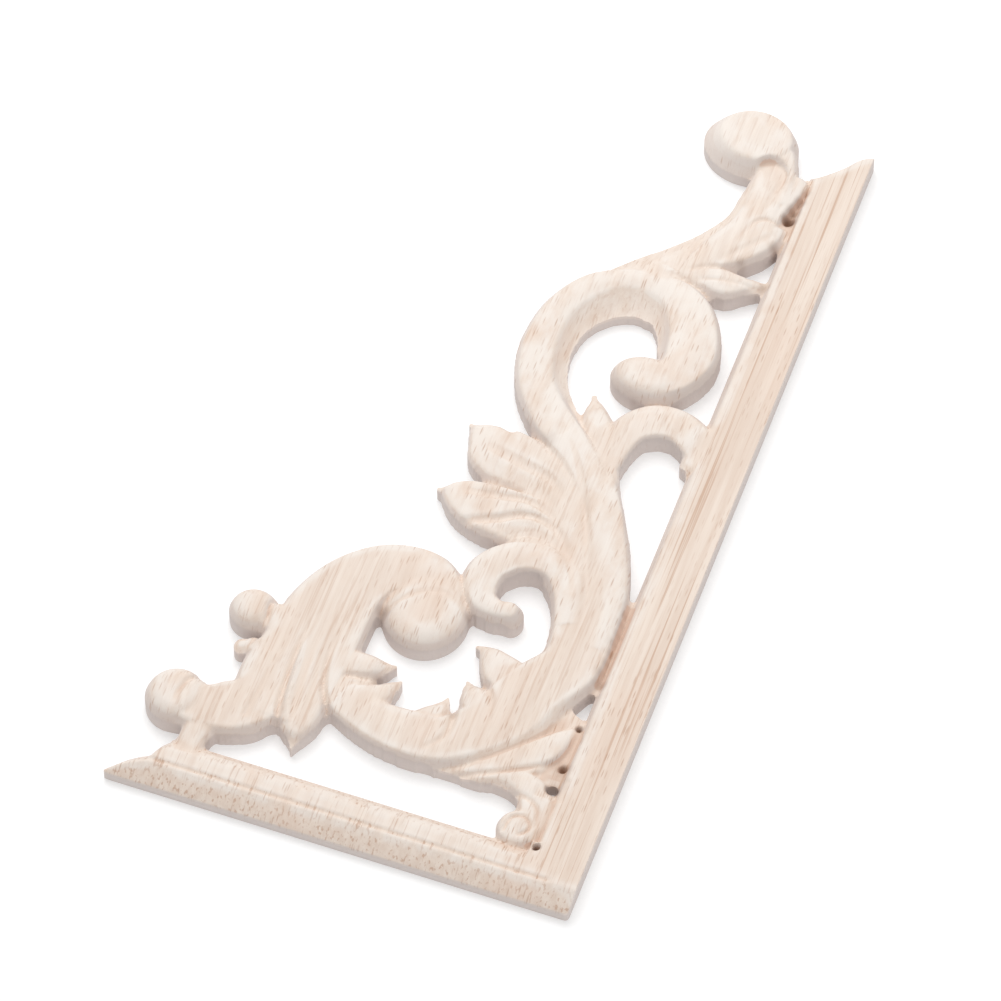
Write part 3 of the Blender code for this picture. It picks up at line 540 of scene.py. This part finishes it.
def cut_details(wood):
    """Cut the flutes, creases and pits, and paint shade in the deep corners."""
    # Knob, its stem and the leaves beside the stem
    wood.sink([(-19.6, 174.5, 5.4, 6.9), (-18.9, 180.6, 6.2, 6.1), (-19.4, 186.0, 6.8, 5.5)])
    wood.step([
        (-29.8, 155.2, 5.0, 0.9), (-28.6, 160.0, 5.0, 0.9), (-26.8, 165.0, 4.0, 0.8),
        (-23.2, 172.0, 2.6, 0.5), (-21.8, 178.0, 2.2, 0.4), (-21.8, 182.5, 2.2, 0.3)])
    wood.flute([
        (-19.6, 169.4, 1.6, 0.2), (-18.6, 172.8, 1.6, 0.5), (-16.4, 174.4, 1.6, 0.6),
        (-12.0, 174.2, 1.6, 0.7)], sharp=0.7)
    wood.flute([
        (-27.6, 156.6, 1.4, 0.2), (-24.2, 158.6, 1.6, 0.6), (-19.8, 159.9, 1.8, 0.9),
        (-15.6, 159.9, 1.8, 0.8)], sharp=0.7)
    wood.flute([
        (-25.4, 154.6, 1.3, 0.1), (-21.7, 155.9, 1.4, 0.35), (-16.2, 156.9, 1.4, 0.35),
        (-12.0, 157.6, 1.2, 0.1)], sharp=0.5)
    wood.flute([
        (-31.0, 154.4, 1.6, 0.3), (-27.6, 153.6, 1.8, 0.5), (-24.0, 151.9, 1.8, 0.6),
        (-20.2, 150.4, 1.8, 0.6)], sharp=0.6)
    wood.flute([
        (-23.0, 160.5, 1.8, 0.0), (-19.6, 164.4, 2.2, 0.25), (-15.2, 169.6, 2.2, 0.2),
        (-12.8, 172.6, 1.6, 0.0)])
    wood.flute([
        (-17.4, 177.5, 1.6, 0.1), (-17.2, 182.0, 1.8, 0.3), (-15.6, 187.5, 1.6, 0.2),
        (-15.2, 190.5, 1.4, 0.0)])
    # Edges where the upper scroll crosses the leaf and the spur
    wood.flute([
        (-48.2, 107.4, 2.4, 1.1), (-43.4, 105.2, 2.2, 1.0), (-39.4, 102.6, 2.0, 0.7),
        (-35.6, 99.6, 2.0, 0.4), (-32.2, 95.8, 2.0, 0.1)], sharp=0.7)
    wood.flute([
        (-41.0, 116.6, 1.8, 0.6), (-36.4, 111.6, 1.8, 0.7), (-31.4, 106.4, 1.8, 0.6),
        (-27.4, 101.8, 1.8, 0.4), (-25.4, 99.0, 1.8, 0.0)], sharp=0.7)
    # Arcs of the main leaf
    wood.flute([
        (-57.0, 92.8, 2.4, 1.3), (-53.5, 92.0, 2.4, 1.2), (-50.0, 91.6, 2.4, 1.0),
        (-46.4, 91.9, 2.2, 0.8), (-41.6, 91.9, 2.2, 0.7), (-36.6, 90.2, 2.2, 0.6),
        (-31.8, 86.2, 2.2, 0.4), (-28.1, 80.7, 2.0, 0.1)], sharp=0.6)
    wood.step([
        (-53.5, 92.4, 6.0, 0.8), (-46.4, 92.3, 6.0, 0.8), (-41.6, 92.3, 6.0, 0.7),
        (-36.6, 90.6, 5.0, 0.6), (-31.8, 86.6, 4.0, 0.3), (-28.1, 81.0, 3.0, 0.0)])
    wood.flute([
        (-51.0, 80.6, 2.8, 0.5), (-44.8, 83.0, 3.0, 1.0), (-40.6, 85.4, 3.0, 1.1),
        (-36.0, 85.8, 2.8, 1.0), (-31.4, 83.6, 2.6, 0.7), (-27.7, 78.6, 2.0, 0.1)])
    wood.flute([
        (-53.0, 87.6, 2.8, 0.3), (-46.0, 88.6, 3.0, 0.8), (-40.0, 89.4, 3.0, 0.85),
        (-34.6, 87.4, 2.6, 0.7), (-30.4, 83.2, 2.0, 0.0)])
    wood.flute([
        (-49.0, 76.4, 2.4, 1.2), (-45.6, 76.4, 2.4, 1.2), (-42.6, 78.2, 2.2, 1.0),
        (-39.6, 80.4, 2.2, 0.9), (-35.8, 81.6, 2.2, 0.8), (-31.2, 80.4, 2.2, 0.7),
        (-27.0, 76.8, 2.0, 0.5), (-24.3, 71.2, 2.0, 0.2)], sharp=0.6)
    wood.step([
        (-42.6, 78.6, 4.0, 0.7), (-39.6, 80.8, 4.0, 0.8), (-35.8, 82.0, 4.0, 0.7),
        (-31.2, 80.8, 4.0, 0.6), (-27.0, 77.2, 3.0, 0.3), (-24.3, 71.6, 2.0, 0.0)])
    wood.flute([
        (-52.0, 99.6, 3.0, 0.2), (-45.0, 98.0, 3.4, 0.5), (-38.0, 96.2, 3.2, 0.55),
        (-33.0, 92.0, 2.6, 0.1)])
    # Inner side of the raised strip
    wood.flute([
        (-19.4, 58.0, 1.8, 0.0), (-20.8, 70.0, 2.2, 0.35), (-24.4, 80.5, 2.4, 0.5),
        (-28.4, 91.4, 2.4, 0.5), (-32.6, 100.0, 2.2, 0.4), (-37.5, 107.6, 2.0, 0.0)], sharp=0.3)
    # Fan of the lower scroll
    wood.flute([
        (-70.8, 18.6, 2.6, 1.6), (-70.6, 21.4, 2.4, 1.5), (-71.6, 26.4, 2.2, 1.2),
        (-72.3, 34.4, 2.0, 1.0), (-72.4, 42.0, 2.0, 0.6), (-71.4, 49.0, 2.0, 0.0)], sharp=0.7)
    wood.flute([
        (-60.6, 24.4, 2.6, 1.6), (-61.6, 27.0, 2.4, 1.5), (-64.4, 32.4, 2.2, 1.2),
        (-65.9, 39.3, 2.0, 0.9), (-66.0, 48.4, 2.0, 0.0)], sharp=0.7)
    wood.ridge([
        (-66.2, 19.4, 1.4, 0.1), (-67.8, 21.6, 1.6, 0.4), (-69.7, 25.9, 1.7, 0.6),
        (-70.7, 31.3, 1.7, 0.6), (-71.4, 38.0, 1.7, 0.4), (-72.4, 44.0, 1.6, 0.0)])
    wood.flute([
        (-68.0, 22.0, 1.6, 0.1), (-68.8, 30.0, 1.8, 0.3), (-69.6, 40.0, 1.8, 0.25),
        (-68.8, 50.0, 1.6, 0.0)])
    wood.flute([
        (-65.0, 21.0, 1.6, 0.1), (-66.2, 30.0, 1.8, 0.3), (-67.4, 40.0, 1.8, 0.25),
        (-67.0, 50.0, 1.6, 0.0)])
    wood.flute([
        (-77.0, 21.0, 2.0, 0.5), (-76.4, 28.0, 2.0, 0.5), (-76.0, 36.0, 2.0, 0.3),
        (-74.6, 44.0, 1.8, 0.0)], sharp=0.4)
    wood.flute([
        (-59.6, 50.8, 2.4, 1.0), (-58.4, 54.0, 2.2, 0.8), (-56.2, 57.6, 2.0, 0.4),
        (-52.6, 60.6, 2.0, 0.25), (-47.6, 61.4, 2.0, 0.2), (-43.6, 58.6, 2.0, 0.0)], sharp=0.6)
    wood.flute([
        (-80.2, 50.2, 2.0, 1.1), (-81.6, 47.6, 1.8, 1.1), (-81.0, 43.4, 1.8, 1.0),
        (-81.9, 38.9, 1.8, 0.8), (-83.4, 35.7, 1.8, 0.1)], sharp=0.6)
    wood.flute([
        (-87.6, 28.6, 2.0, 1.0), (-89.6, 26.2, 2.0, 0.9), (-90.8, 23.6, 1.8, 0.8),
        (-91.6, 20.2, 1.8, 0.5), (-91.4, 17.0, 1.8, 0.0)], sharp=0.6)
    wood.flute([
        (-37.2, 36.2, 2.4, 1.2), (-36.8, 33.0, 2.2, 0.9), (-37.2, 29.4, 2.0, 0.6),
        (-39.9, 25.8, 2.0, 0.2)], sharp=0.6)
    wood.flute([
        (-33.4, 44.6, 2.2, 0.9), (-31.0, 41.0, 2.0, 0.6), (-30.4, 36.0, 2.0, 0.1)], sharp=0.5)
    wood.flute([
        (-54.4, 37.8, 2.0, 0.8), (-57.2, 36.6, 1.8, 0.5), (-60.0, 35.2, 1.6, 0.1)], sharp=0.7)
    # Leaves of the corner
    wood.flute([
        (-36.0, 21.6, 1.6, 0.3), (-28.5, 23.9, 1.8, 0.7), (-20.3, 27.6, 1.8, 0.7),
        (-13.6, 32.6, 1.6, 0.5), (-11.9, 39.4, 1.4, 0.1)], sharp=0.6)
    wood.flute([
        (-33.0, 20.6, 1.4, 0.1), (-23.4, 21.9, 1.6, 0.5), (-17.1, 21.9, 1.6, 0.6),
        (-13.6, 19.7, 1.6, 0.6), (-12.6, 15.9, 1.6, 0.3)], sharp=0.6)
    wood.flute([
        (-18.4, 13.0, 1.5, 0.8), (-17.8, 16.4, 1.5, 0.9), (-15.2, 17.2, 1.5, 0.9),
        (-13.6, 15.0, 1.4, 0.8), (-15.2, 12.8, 1.2, 0.5), (-16.4, 14.4, 1.0, 0.2)], sharp=0.4)
    wood.flute([
        (-12.4, 176.4, 2.4, 1.6), (-11.8, 180.0, 2.0, 1.4), (-11.0, 183.4, 1.4, 0.8),
        (-10.2, 186.2, 1.2, 0.2)], sharp=0.7)
    wood.pit(-12.4, 25.7, 1.35, 1.0, through=True)
    wood.pit(-12.1, 31.3, 0.95, 1.8)
    wood.pit(-10.8, 11.4, 0.7, 2.2)
    wood.pit(-12.2, 41.4, 0.7, 2.2)
    wood.pit(-12.2, 176.8, 1.3, 1.8)
    # Painted shade in the deep corners and on the rough drill marks beside the stile
    for x, y, reach, share in (
            (-28.5, 120.9, 1.5, 0.5), (-18.2, 123.9, 1.6, 0.6), (-42.3, 59.0, 1.6, 0.5),
            (-45.0, 77.1, 1.8, 0.5), (-59.4, 54.0, 1.8, 0.6), (-12.6, 168.4, 1.8, 0.6),
            (-11.8, 158.6, 1.6, 0.5), (-18.2, 162.2, 1.6, 0.4), (-11.9, 179.2, 2.0, 0.7),
            (-11.3, 182.0, 1.7, 0.5), (-10.7, 184.6, 1.4, 0.3), (-81.7, 12.8, 1.8, 0.4),
            (-54.6, 38.4, 1.8, 0.6), (-37.5, 35.4, 1.6, 0.4), (-41.5, 105.3, 2.4, 0.25),
            (-47.9, 107.7, 2.0, 0.4), (-11.4, 52.5, 1.8, 0.5)):
        wood.paint_shade(x, y, reach, share)
    for mark in range(10):
        wood.paint_shade(-12.2 + 0.4 * math.sin(mark * 2.3), 50.0 + mark * 2.5, 1.6, 0.32 - 0.02 * mark)
    # Painted shade round the pit and the through hole beside the stile
    wood.paint_shade(-12.2, 31.0, 2.6, 0.45)
    wood.paint_shade(-12.2, 27.0, 3.2, 0.30)


def carve(x, y):
    """Work out the edge and the height of the carving at plan points."""
    wood = Wood(x, y)
    lay_stile(wood)
    lay_foot(wood)
    lay_ground(wood)
    lay_scrolls(wood)
    lay_quirk(wood)
    cut_details(wood)
    wood.top = np.clip(wood.top, LOWEST, BALL)
    return wood


def even_edge(edge):
    """Smooth a grid of edge distances a little, and keep the edge off the grid's own points."""
    for turn in range(EDGE_TURNS):
        edge[1:-1] = (edge[:-2] + 2 * edge[1:-1] + edge[2:]) / 4
        edge[:, 1:-1] = (edge[:, :-2] + 2 * edge[:, 1:-1] + edge[:, 2:]) / 4
    return np.where(np.abs(edge) < CELL * SNAP, -CELL * SNAP, edge)


def cut_grid():
    """Lay a grid over the plan and cut it along the edge of the wood.

    Gives the plan points, those inside the wood first and then those on its rim, how many are
    inside, the grid of the inside points' numbers, and the numbers of the rim points on the
    grid's lines along X, along Y and on the slant.
    """
    left, right, low, high = FIELD
    columns = int((right - left) / CELL) + 1
    lines = int((high - low) / CELL) + 1
    grid_x, grid_y = np.meshgrid(left + CELL * np.arange(columns), low + CELL * np.arange(lines),
                                 indexing="ij")
    edge = even_edge(carve(grid_x.ravel(), grid_y.ravel()).edge.reshape(columns, lines))
    inside = edge < 0
    flat_count = total = int(inside.sum())
    numbers = np.full((columns, lines), -1)
    numbers[inside] = np.arange(flat_count)
    spots_x, spots_y = [grid_x[inside]], [grid_y[inside]]
    crossings = []
    for step_x, step_y in ((1, 0), (0, 1), (1, 1)):
        first = (slice(columns - step_x), slice(lines - step_y))
        here, there = edge[first], edge[step_x:, step_y:]
        cut = (here < 0) != (there < 0)
        share = (here / np.where(cut, here - there, 1))[cut]
        found = np.full((columns, lines), -1)
        found[first][cut] = total + np.arange(cut.sum())
        total += int(cut.sum())
        spots_x.append(grid_x[first][cut] + share * CELL * step_x)
        spots_y.append(grid_y[first][cut] + share * CELL * step_y)
        crossings.append(found)
    return np.concatenate(spots_x), np.concatenate(spots_y), flat_count, numbers, crossings


def face_triangles(numbers, crossings):
    """Give the triangles of the face and the stretches of its rim, by the cut of each grid cell."""
    low_left, low_right = numbers[:-1, :-1].ravel(), numbers[1:, :-1].ravel()
    high_left, high_right = numbers[:-1, 1:].ravel(), numbers[1:, 1:].ravel()
    bottom, top = crossings[0][:-1, :-1].ravel(), crossings[0][:-1, 1:].ravel()
    left, right = crossings[1][:-1, :-1].ravel(), crossings[1][1:, :-1].ravel()
    slant = crossings[2][:-1, :-1].ravel()
    faces = []
    rims = []
    for a, b, c, ab, bc, ca in ((low_left, low_right, high_right, bottom, right, slant),
                                (low_left, high_right, high_left, slant, top, left)):
        whole = (a >= 0) & (b >= 0) & (c >= 0)
        faces.append(np.stack([a[whole], b[whole], c[whole]], 1))
        for p, q, s, pq, qs, sp in ((a, b, c, ab, bc, ca), (b, c, a, bc, ca, ab),
                                    (c, a, b, ca, ab, bc)):
            one = (p >= 0) & (q < 0) & (s < 0)
            faces.append(np.stack([p[one], pq[one], sp[one]], 1))
            rims.append(np.stack([pq[one], sp[one]], 1))
            two = (p >= 0) & (q >= 0) & (s < 0)
            faces.append(np.stack([p[two], q[two], qs[two]], 1))
            faces.append(np.stack([p[two], qs[two], sp[two]], 1))
            rims.append(np.stack([qs[two], sp[two]], 1))
    return np.concatenate(faces), np.concatenate(rims)


def smooth_rim(x, y, faces, one, two, flat_count):
    """Even out the points of the rim, and the points of the face beside them."""
    rim_count = len(x) - flat_count
    beside_rim = np.zeros(len(x), bool)
    beside_rim[faces[(faces >= flat_count).any(axis=1)]] = True
    beside_rim[flat_count:] = False
    for turn in range(RIM_TURNS):
        for spots in (x, y):
            rim = spots[flat_count:]
            beside = np.bincount(one, rim[two], rim_count) + np.bincount(two, rim[one], rim_count)
            spots[flat_count:] = rim * 0.5 + beside * 0.25
            spots[beside_rim] = soften(spots, faces, 1, 0.5)[beside_rim]


def double_area(triangles, x, y):
    """Twice the area of each triangle, above zero where its corners turn left."""
    wide_x, wide_y = x[triangles], y[triangles]
    return ((wide_x[:, 1] - wide_x[:, 0]) * (wide_y[:, 2] - wide_y[:, 0])
            - (wide_x[:, 2] - wide_x[:, 0]) * (wide_y[:, 1] - wide_y[:, 0]))


def back_triangles(loops, x, y):
    """Fill the flat back inside the rim, with its triangles facing down."""
    plan = [Vector((float(px), float(py))) for px, py in zip(x, y)]
    filled = geometry.delaunay_2d_cdt(plan, loops, [], 1, 1e-7)
    back = np.array([tuple(tri) for tri in filled[2]])
    origin = np.array([group[0] if group else -1 for group in filled[3]])
    back = under_wood(origin[back], loops, x, y)
    return np.where((double_area(back, x, y) > 0)[:, None], back[:, ::-1], back)


def carved_mesh(name):
    """Mesh the carving: a face on a fine grid cut along its edge, upright walls and a flat back."""
    x, y, flat_count, numbers, crossings = cut_grid()
    faces, rims = face_triangles(numbers, crossings)
    one, two = rims[:, 0] - flat_count, rims[:, 1] - flat_count
    smooth_rim(x, y, faces, one, two, flat_count)

    face = carve(x, y)
    top = soften(face.top, faces, 1, 0.5)
    rim_x, rim_y, rim_top = x[flat_count:], y[flat_count:], top[flat_count:]
    middle_first, back_first = len(x), len(x) + len(rim_x)
    walls = []
    for upper, lower in ((flat_count, middle_first), (middle_first, back_first)):
        walls.append(np.stack([upper + one, lower + one, lower + two, upper + two], 1))
    walls = np.concatenate(walls)
    back = back_triangles(list(zip(one.tolist(), two.tolist())), rim_x, rim_y) + back_first

    drawn_x = np.concatenate([x, rim_x, rim_x])
    drawn_y = np.concatenate([y, rim_y, rim_y])
    heights = np.concatenate([top, rim_top * WALL_LEVEL, np.zeros(len(rim_x))])
    points = np.stack([drawn_x + CORNER, drawn_y - CORNER, heights], 1) * FIT
    data = bpy.data.meshes.new(name)
    data.from_pydata(points.tolist(), [], faces.tolist() + walls.tolist() + back.tolist())
    data.update()
    item = bpy.data.objects.new(name, data)
    bpy.context.scene.collection.objects.link(item)
    for polygon in data.polygons:
        polygon.use_smooth = True
    data.set_sharp_from_angle(angle=math.radians(SHARP_ANGLE))

    # Painted shade of the face, carried down onto the walls
    wall_dark = face.dark[flat_count:] * WALL_SHADE
    write_value(data, "painted_shade", np.concatenate([face.dark, wall_dark, wall_dark]))
    write_value(data, "relief", relief_values(drawn_x, drawn_y))
    write_value(data, "hollow", hollow_values(face, len(points), faces, top))
    normals = np.empty(len(points) * 3)
    data.vertices.foreach_get("normal", normals)
    steep = 1 - np.abs(normals.reshape(-1, 3)[:, 2])
    steep[len(x):] = 1.0
    write_value(data, "steep", steep)
    return item


def under_wood(triangles, loops, x, y):
    """Keep the triangles of the back that lie under wood, taking each patch as a whole."""
    fence = {frozenset(pair) for pair in loops}
    sharing = {}
    for number, corners in enumerate(triangles.tolist()):
        for here, there in zip(corners, corners[1:] + corners[:1]):
            sharing.setdefault(frozenset((here, there)), []).append(number)
    beside = [[] for triangle in triangles]
    for pair, numbers in sharing.items():
        if pair not in fence and len(numbers) == 2:
            beside[numbers[0]].append(numbers[1])
            beside[numbers[1]].append(numbers[0])
    area = np.abs(double_area(triangles, x, y))
    wood = carve(x[triangles].mean(axis=1), y[triangles].mean(axis=1)).edge < 0
    keep = np.zeros(len(triangles), bool)
    seen = set()
    for first in range(len(triangles)):
        if first in seen:
            continue
        patch = [first]
        seen.add(first)
        for number in patch:
            fresh = [other for other in beside[number] if other not in seen]
            seen.update(fresh)
            patch.extend(fresh)
        patch = np.array(patch)
        keep[patch] = wood[patch[np.argmax(area[patch])]]
    return triangles[keep]


def write_value(data, name, values):
    """Store one number a point on the mesh."""
    layer = data.attributes.new(name, "FLOAT", "POINT")
    layer.data.foreach_set("value", np.asarray(values, np.float32))


def soften(heights, faces, turns, share):
    """Move each height towards the mean of its neighbours."""
    count = len(heights)
    ends = np.concatenate([faces[:, [0, 1]], faces[:, [1, 2]], faces[:, [2, 0]]])
    for turn in range(turns):
        total = np.zeros(count)
        number = np.zeros(count)
        for one, two in ((0, 1), (1, 0)):
            total += np.bincount(ends[:, one], weights=heights[ends[:, two]], minlength=count)
            number += np.bincount(ends[:, one], minlength=count)
        heights = heights * (1 - share) + share * total / np.maximum(number, 1)
    return heights


def relief_values(drawn_x, drawn_y):
    """Give 0 on the stile and the foot, and on the openwork more towards its top."""
    off_stile = np.clip((-STILE_WIDTH - drawn_x) / 1.2, 0, 1)
    off_foot = np.clip((drawn_y - FOOT_DEPTH) / 1.5, 0, 1)
    return off_stile * off_foot * np.clip(0.30 + (drawn_y - 50.0) / 90.0, 0.30, 1.0)


def hollow_values(face, count, faces, top):
    """Compare each point with the mean height round it: over 0.5 is a ridge, under it a hollow."""
    close_mean = soften(top, faces, CLOSE_TURNS, 1.0)
    wide_mean = soften(close_mean, faces, WIDE_TURNS, 1.0)
    rise = (top - close_mean) * CLOSE_GAIN + (close_mean - wide_mean) * WIDE_GAIN
    rise = np.where(rise < 0, rise * np.clip((-face.edge - 0.9) / 2.0, 0, 1), rise)
    values = np.full(count, 0.5)
    values[:len(top)] = np.clip(0.5 + rise, 0, 1)
    return values


class Value:
    """A socket of a shader tree on which numbers can be worked out."""

    def __init__(self, tree, socket):
        self.tree = tree
        self.socket = socket

    def maths(self, operation, *others):
        """Work out a number from this one and others."""
        sockets = dict(enumerate((self,) + others))
        node = self.tree.node("ShaderNodeMath", {"operation": operation}, sockets)
        return Value(self.tree, node.outputs[0])

    def __add__(self, other):
        return self.maths("ADD", other)

    __radd__ = __add__

    def __mul__(self, other):
        return self.maths("MULTIPLY", other)

    __rmul__ = __mul__

    def __sub__(self, other):
        return self.maths("SUBTRACT", other)

    def __rsub__(self, other):
        return (self * -1) + other

    def clamp(self):
        """Keep the number between 0 and 1."""
        return self.maths("MAXIMUM", 0.0).maths("MINIMUM", 1.0)

    def ramp(self, low, high):
        """Go from 0 at low to 1 at high, smoothly."""
        node = self.tree.node("ShaderNodeMapRange", {"interpolation_type": "SMOOTHSTEP"},
                              {"Value": self, "From Min": low, "From Max": high,
                               "To Min": 0.0, "To Max": 1.0})
        return Value(self.tree, node.outputs[0])


class Tree:
    """The shader tree of one material."""

    def __init__(self, material):
        material.use_nodes = True
        self.nodes = material.node_tree.nodes
        self.links = material.node_tree.links
        self.shader = self.nodes["Principled BSDF"]

    def node(self, kind, settings=None, sockets=None):
        """Add a node: its settings first, then its sockets' values or links."""
        node = self.nodes.new(kind)
        for key, value in (settings or {}).items():
            setattr(node, key, value)
        for key, value in (sockets or {}).items():
            self.put(node.inputs[key], value)
        return node

    def put(self, socket, value):
        """Link a worked out value to a socket, or set a plain one."""
        if isinstance(value, Value):
            self.links.new(value.socket, socket)
        else:
            socket.default_value = value

    def place(self, scale):
        """Give the object coordinates stretched by a scale along each axis."""
        spot = self.node("ShaderNodeTexCoord")
        turned = self.node("ShaderNodeMapping", None,
                           {"Vector": Value(self, spot.outputs["Object"]), "Scale": scale})
        return Value(self, turned.outputs[0])

    def noise(self, scale, detail, rough, shift=0.0):
        """Give soft noise, with so many grains a metre along each axis."""
        node = self.node("ShaderNodeTexNoise", {"noise_dimensions": "4D"},
                         {"Vector": self.place(scale), "W": shift, "Scale": 1.0,
                          "Detail": detail, "Roughness": rough})
        return Value(self, node.outputs[0])

    def cells(self, scale):
        """Give the distance to the nearest cell's middle, and its colour."""
        node = self.node("ShaderNodeTexVoronoi", None,
                         {"Vector": self.place(scale), "Scale": 1.0, "Randomness": 1.0})
        return Value(self, node.outputs["Distance"]), Value(self, node.outputs["Color"])

    def mix(self, share, one, two):
        """Go from one colour to another by a share."""
        node = self.node("ShaderNodeMix", {"data_type": "RGBA"})
        self.put(node.inputs[0], share)
        self.put(node.inputs[6], one)
        self.put(node.inputs[7], two)
        return Value(self, node.outputs[2])

    def stored(self, name):
        """Read a value that is stored on the mesh."""
        node = self.node("ShaderNodeAttribute", {"attribute_name": name})
        return Value(self, node.outputs["Fac"])


def paint(colour):
    """Turn a screen colour into a linear one."""
    return tuple((part / 255) ** 2.2 for part in colour) + (1.0,)


def pale_wood():
    """Pale unfinished wood: long grain, short dark pores, whitish painted highlights on the ridges,
    and warmer painted shade in the hollows, with painted shade on sloping shoulders, upright walls,
    deep corners and pits.
    """
    material = bpy.data.materials.new("pale_wood")
    tree = Tree(material)
    hollow = tree.stored("hollow")
    painted_shade = tree.stored("painted_shade")
    steep = tree.stored("steep")
    relief = tree.stored("relief")
    streak = tree.noise((620.0, 22.0, 620.0), 4.0, 0.6)
    line = tree.noise((1500.0, 16.0, 1500.0), 2.0, 0.5, 31.0)
    fine = tree.noise((2400.0, 90.0, 2400.0), 3.0, 0.6, 3.0)
    broad = tree.noise((90.0, 30.0, 90.0), 3.0, 0.5, 7.0)
    soft_patches = tree.noise((210.0, 120.0, 210.0), 5.0, 0.55, 11.0)
    far, tone = tree.cells((2100.0, 260.0, 380.0))
    pick = tree.node("ShaderNodeSeparateColor", None, {"Color": tone})
    chance = Value(tree, pick.outputs[0])
    thick = Value(tree, pick.outputs[1])
    pore = (1 - far.ramp(0.16, 0.42)) * chance.ramp(0.44, 0.50) * (0.25 + thick * 0.75)
    edge = steep.ramp(0.20, 0.48)
    upright = steep.ramp(0.55, 0.85)
    pore = pore * broad.ramp(0.30, 0.60) * (1 - upright * 0.8)

    colour = tree.mix(streak.ramp(0.34, 0.66), paint(GRAIN_DARK), paint(GRAIN_LIGHT))
    colour = tree.mix(fine.ramp(0.50, 0.75) * 0.35, colour, paint(FIBRE))
    streaks = line.ramp(0.54, 0.65) * (0.85 - relief.ramp(0.0, 0.3) * 0.45)
    colour = tree.mix(streaks, colour, paint(STREAK))
    colour = tree.mix(broad.ramp(0.45, 0.75) * 0.4, colour, paint(PATCH))
    # Painted highlight on the ridges, and paler wood towards the top of the openwork, both in soft
    # patches
    pale = (hollow.ramp(0.55, 0.90) * 0.8 + relief * 0.5).clamp() * soft_patches.ramp(0.30, 0.62)
    colour = tree.mix(pale * 0.75, colour, paint(RIDGE_HIGHLIGHT))
    # Painted shade in the hollows
    hollow_shade = 1 - hollow.ramp(0.12, 0.48)
    colour = tree.mix(hollow_shade * 0.6, colour, paint(HOLLOW_SHADE))
    # Painted shade on sloping shoulders, warmer where they fall into a hollow
    shade = tree.mix(hollow.ramp(0.25, 0.45), paint(SLOPE_SHADE_WARM), paint(SLOPE_SHADE_PALE))
    colour = tree.mix(edge * 0.7, colour, shade)
    # Painted shade on the upright walls
    colour = tree.mix(upright * 0.75, colour, paint(UPRIGHT_SHADE))
    colour = tree.mix(pore * (0.55 + hollow_shade * 0.3), colour, paint(PORE))
    # Painted shade in deep corners, pits and drill marks
    colour = tree.mix(painted_shade * 0.8, colour, paint(PAINTED_SHADE_COLOUR))
    tree.put(tree.shader.inputs["Base Color"], colour)
    tree.put(tree.shader.inputs["Roughness"], 0.62 + soft_patches * 0.16)
    tree.shader.inputs["Specular IOR Level"].default_value = 0.25
    tool = tree.noise((500.0, 260.0, 500.0), 3.0, 0.5, 21.0)
    lift = (tool * 0.30) + (fine * 0.12) - (pore * 0.35)
    bump = tree.node("ShaderNodeBump", None, {"Strength": 0.35, "Distance": 0.0002, "Height": lift})
    tree.put(tree.shader.inputs["Normal"], Value(tree, bump.outputs[0]))
    return material


def floor_sheet():
    """A plain white floor."""
    data = bpy.data.meshes.new("floor")
    corners = [(x * FLOOR_REACH, y * FLOOR_REACH, -FLOOR_DROP)
               for x, y in ((-1, -1), (1, -1), (1, 1), (-1, 1))]
    data.from_pydata(corners, [], [(0, 1, 2, 3)])
    item = bpy.data.objects.new("floor", data)
    bpy.context.scene.collection.objects.link(item)
    material = bpy.data.materials.new("white_floor")
    material.use_nodes = True
    shader = material.node_tree.nodes["Principled BSDF"]
    shader.inputs["Base Color"].default_value = (FLOOR_SHADE,) * 3 + (1.0,)
    shader.inputs["Emission Color"].default_value = (1.0, 1.0, 1.0, 1.0)
    shader.inputs["Emission Strength"].default_value = FLOOR_GLOW
    shader.inputs["Roughness"].default_value = 0.9
    shader.inputs["Specular IOR Level"].default_value = 0.1
    data.materials.append(material)


def aim_at(item, place, target):
    """Put a lamp or the camera at a place and turn it towards a target."""
    back = (Vector(place) - Vector(target)).normalized()
    turned = back.to_track_quat("Z", "Y").to_matrix().to_4x4()
    item.matrix_world = Matrix.Translation(place) @ turned


def light_and_view():
    """Soft studio light from above and the photograph's view."""
    scene = bpy.context.scene
    world = bpy.data.worlds.new("studio")
    scene.world = world
    world.use_nodes = True
    background = world.node_tree.nodes["Background"]
    background.inputs["Color"].default_value = (1.0, 1.0, 1.0, 1.0)
    background.inputs["Strength"].default_value = ROOM_LIGHT
    for name, place, size, power in LAMPS:
        lamp = bpy.data.lights.new(name, "AREA")
        lamp.size = size
        lamp.energy = power
        item = bpy.data.objects.new(name, lamp)
        scene.collection.objects.link(item)
        aim_at(item, place, AIM)
    camera = bpy.data.cameras.new("camera")
    camera.lens = LENS
    item = bpy.data.objects.new("camera", camera)
    scene.collection.objects.link(item)
    distance = VIEW_WIDTH * LENS / camera.sensor_width
    turn, height = math.radians(VIEW_TURN), math.radians(VIEW_HEIGHT)
    back = Vector((math.sin(turn) * math.cos(height), -math.cos(turn) * math.cos(height),
                   math.sin(height)))
    aim_at(item, Vector(AIM) + back * distance, AIM)
    camera.clip_start = 0.05
    camera.clip_end = 50.0
    scene.camera = item
    scene.view_settings.view_transform = "Standard"


carving = carved_mesh("carving")
carving.data.materials.append(pale_wood())
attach(carving, "root")
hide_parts("corner_onlay")
floor_sheet()
light_and_view()
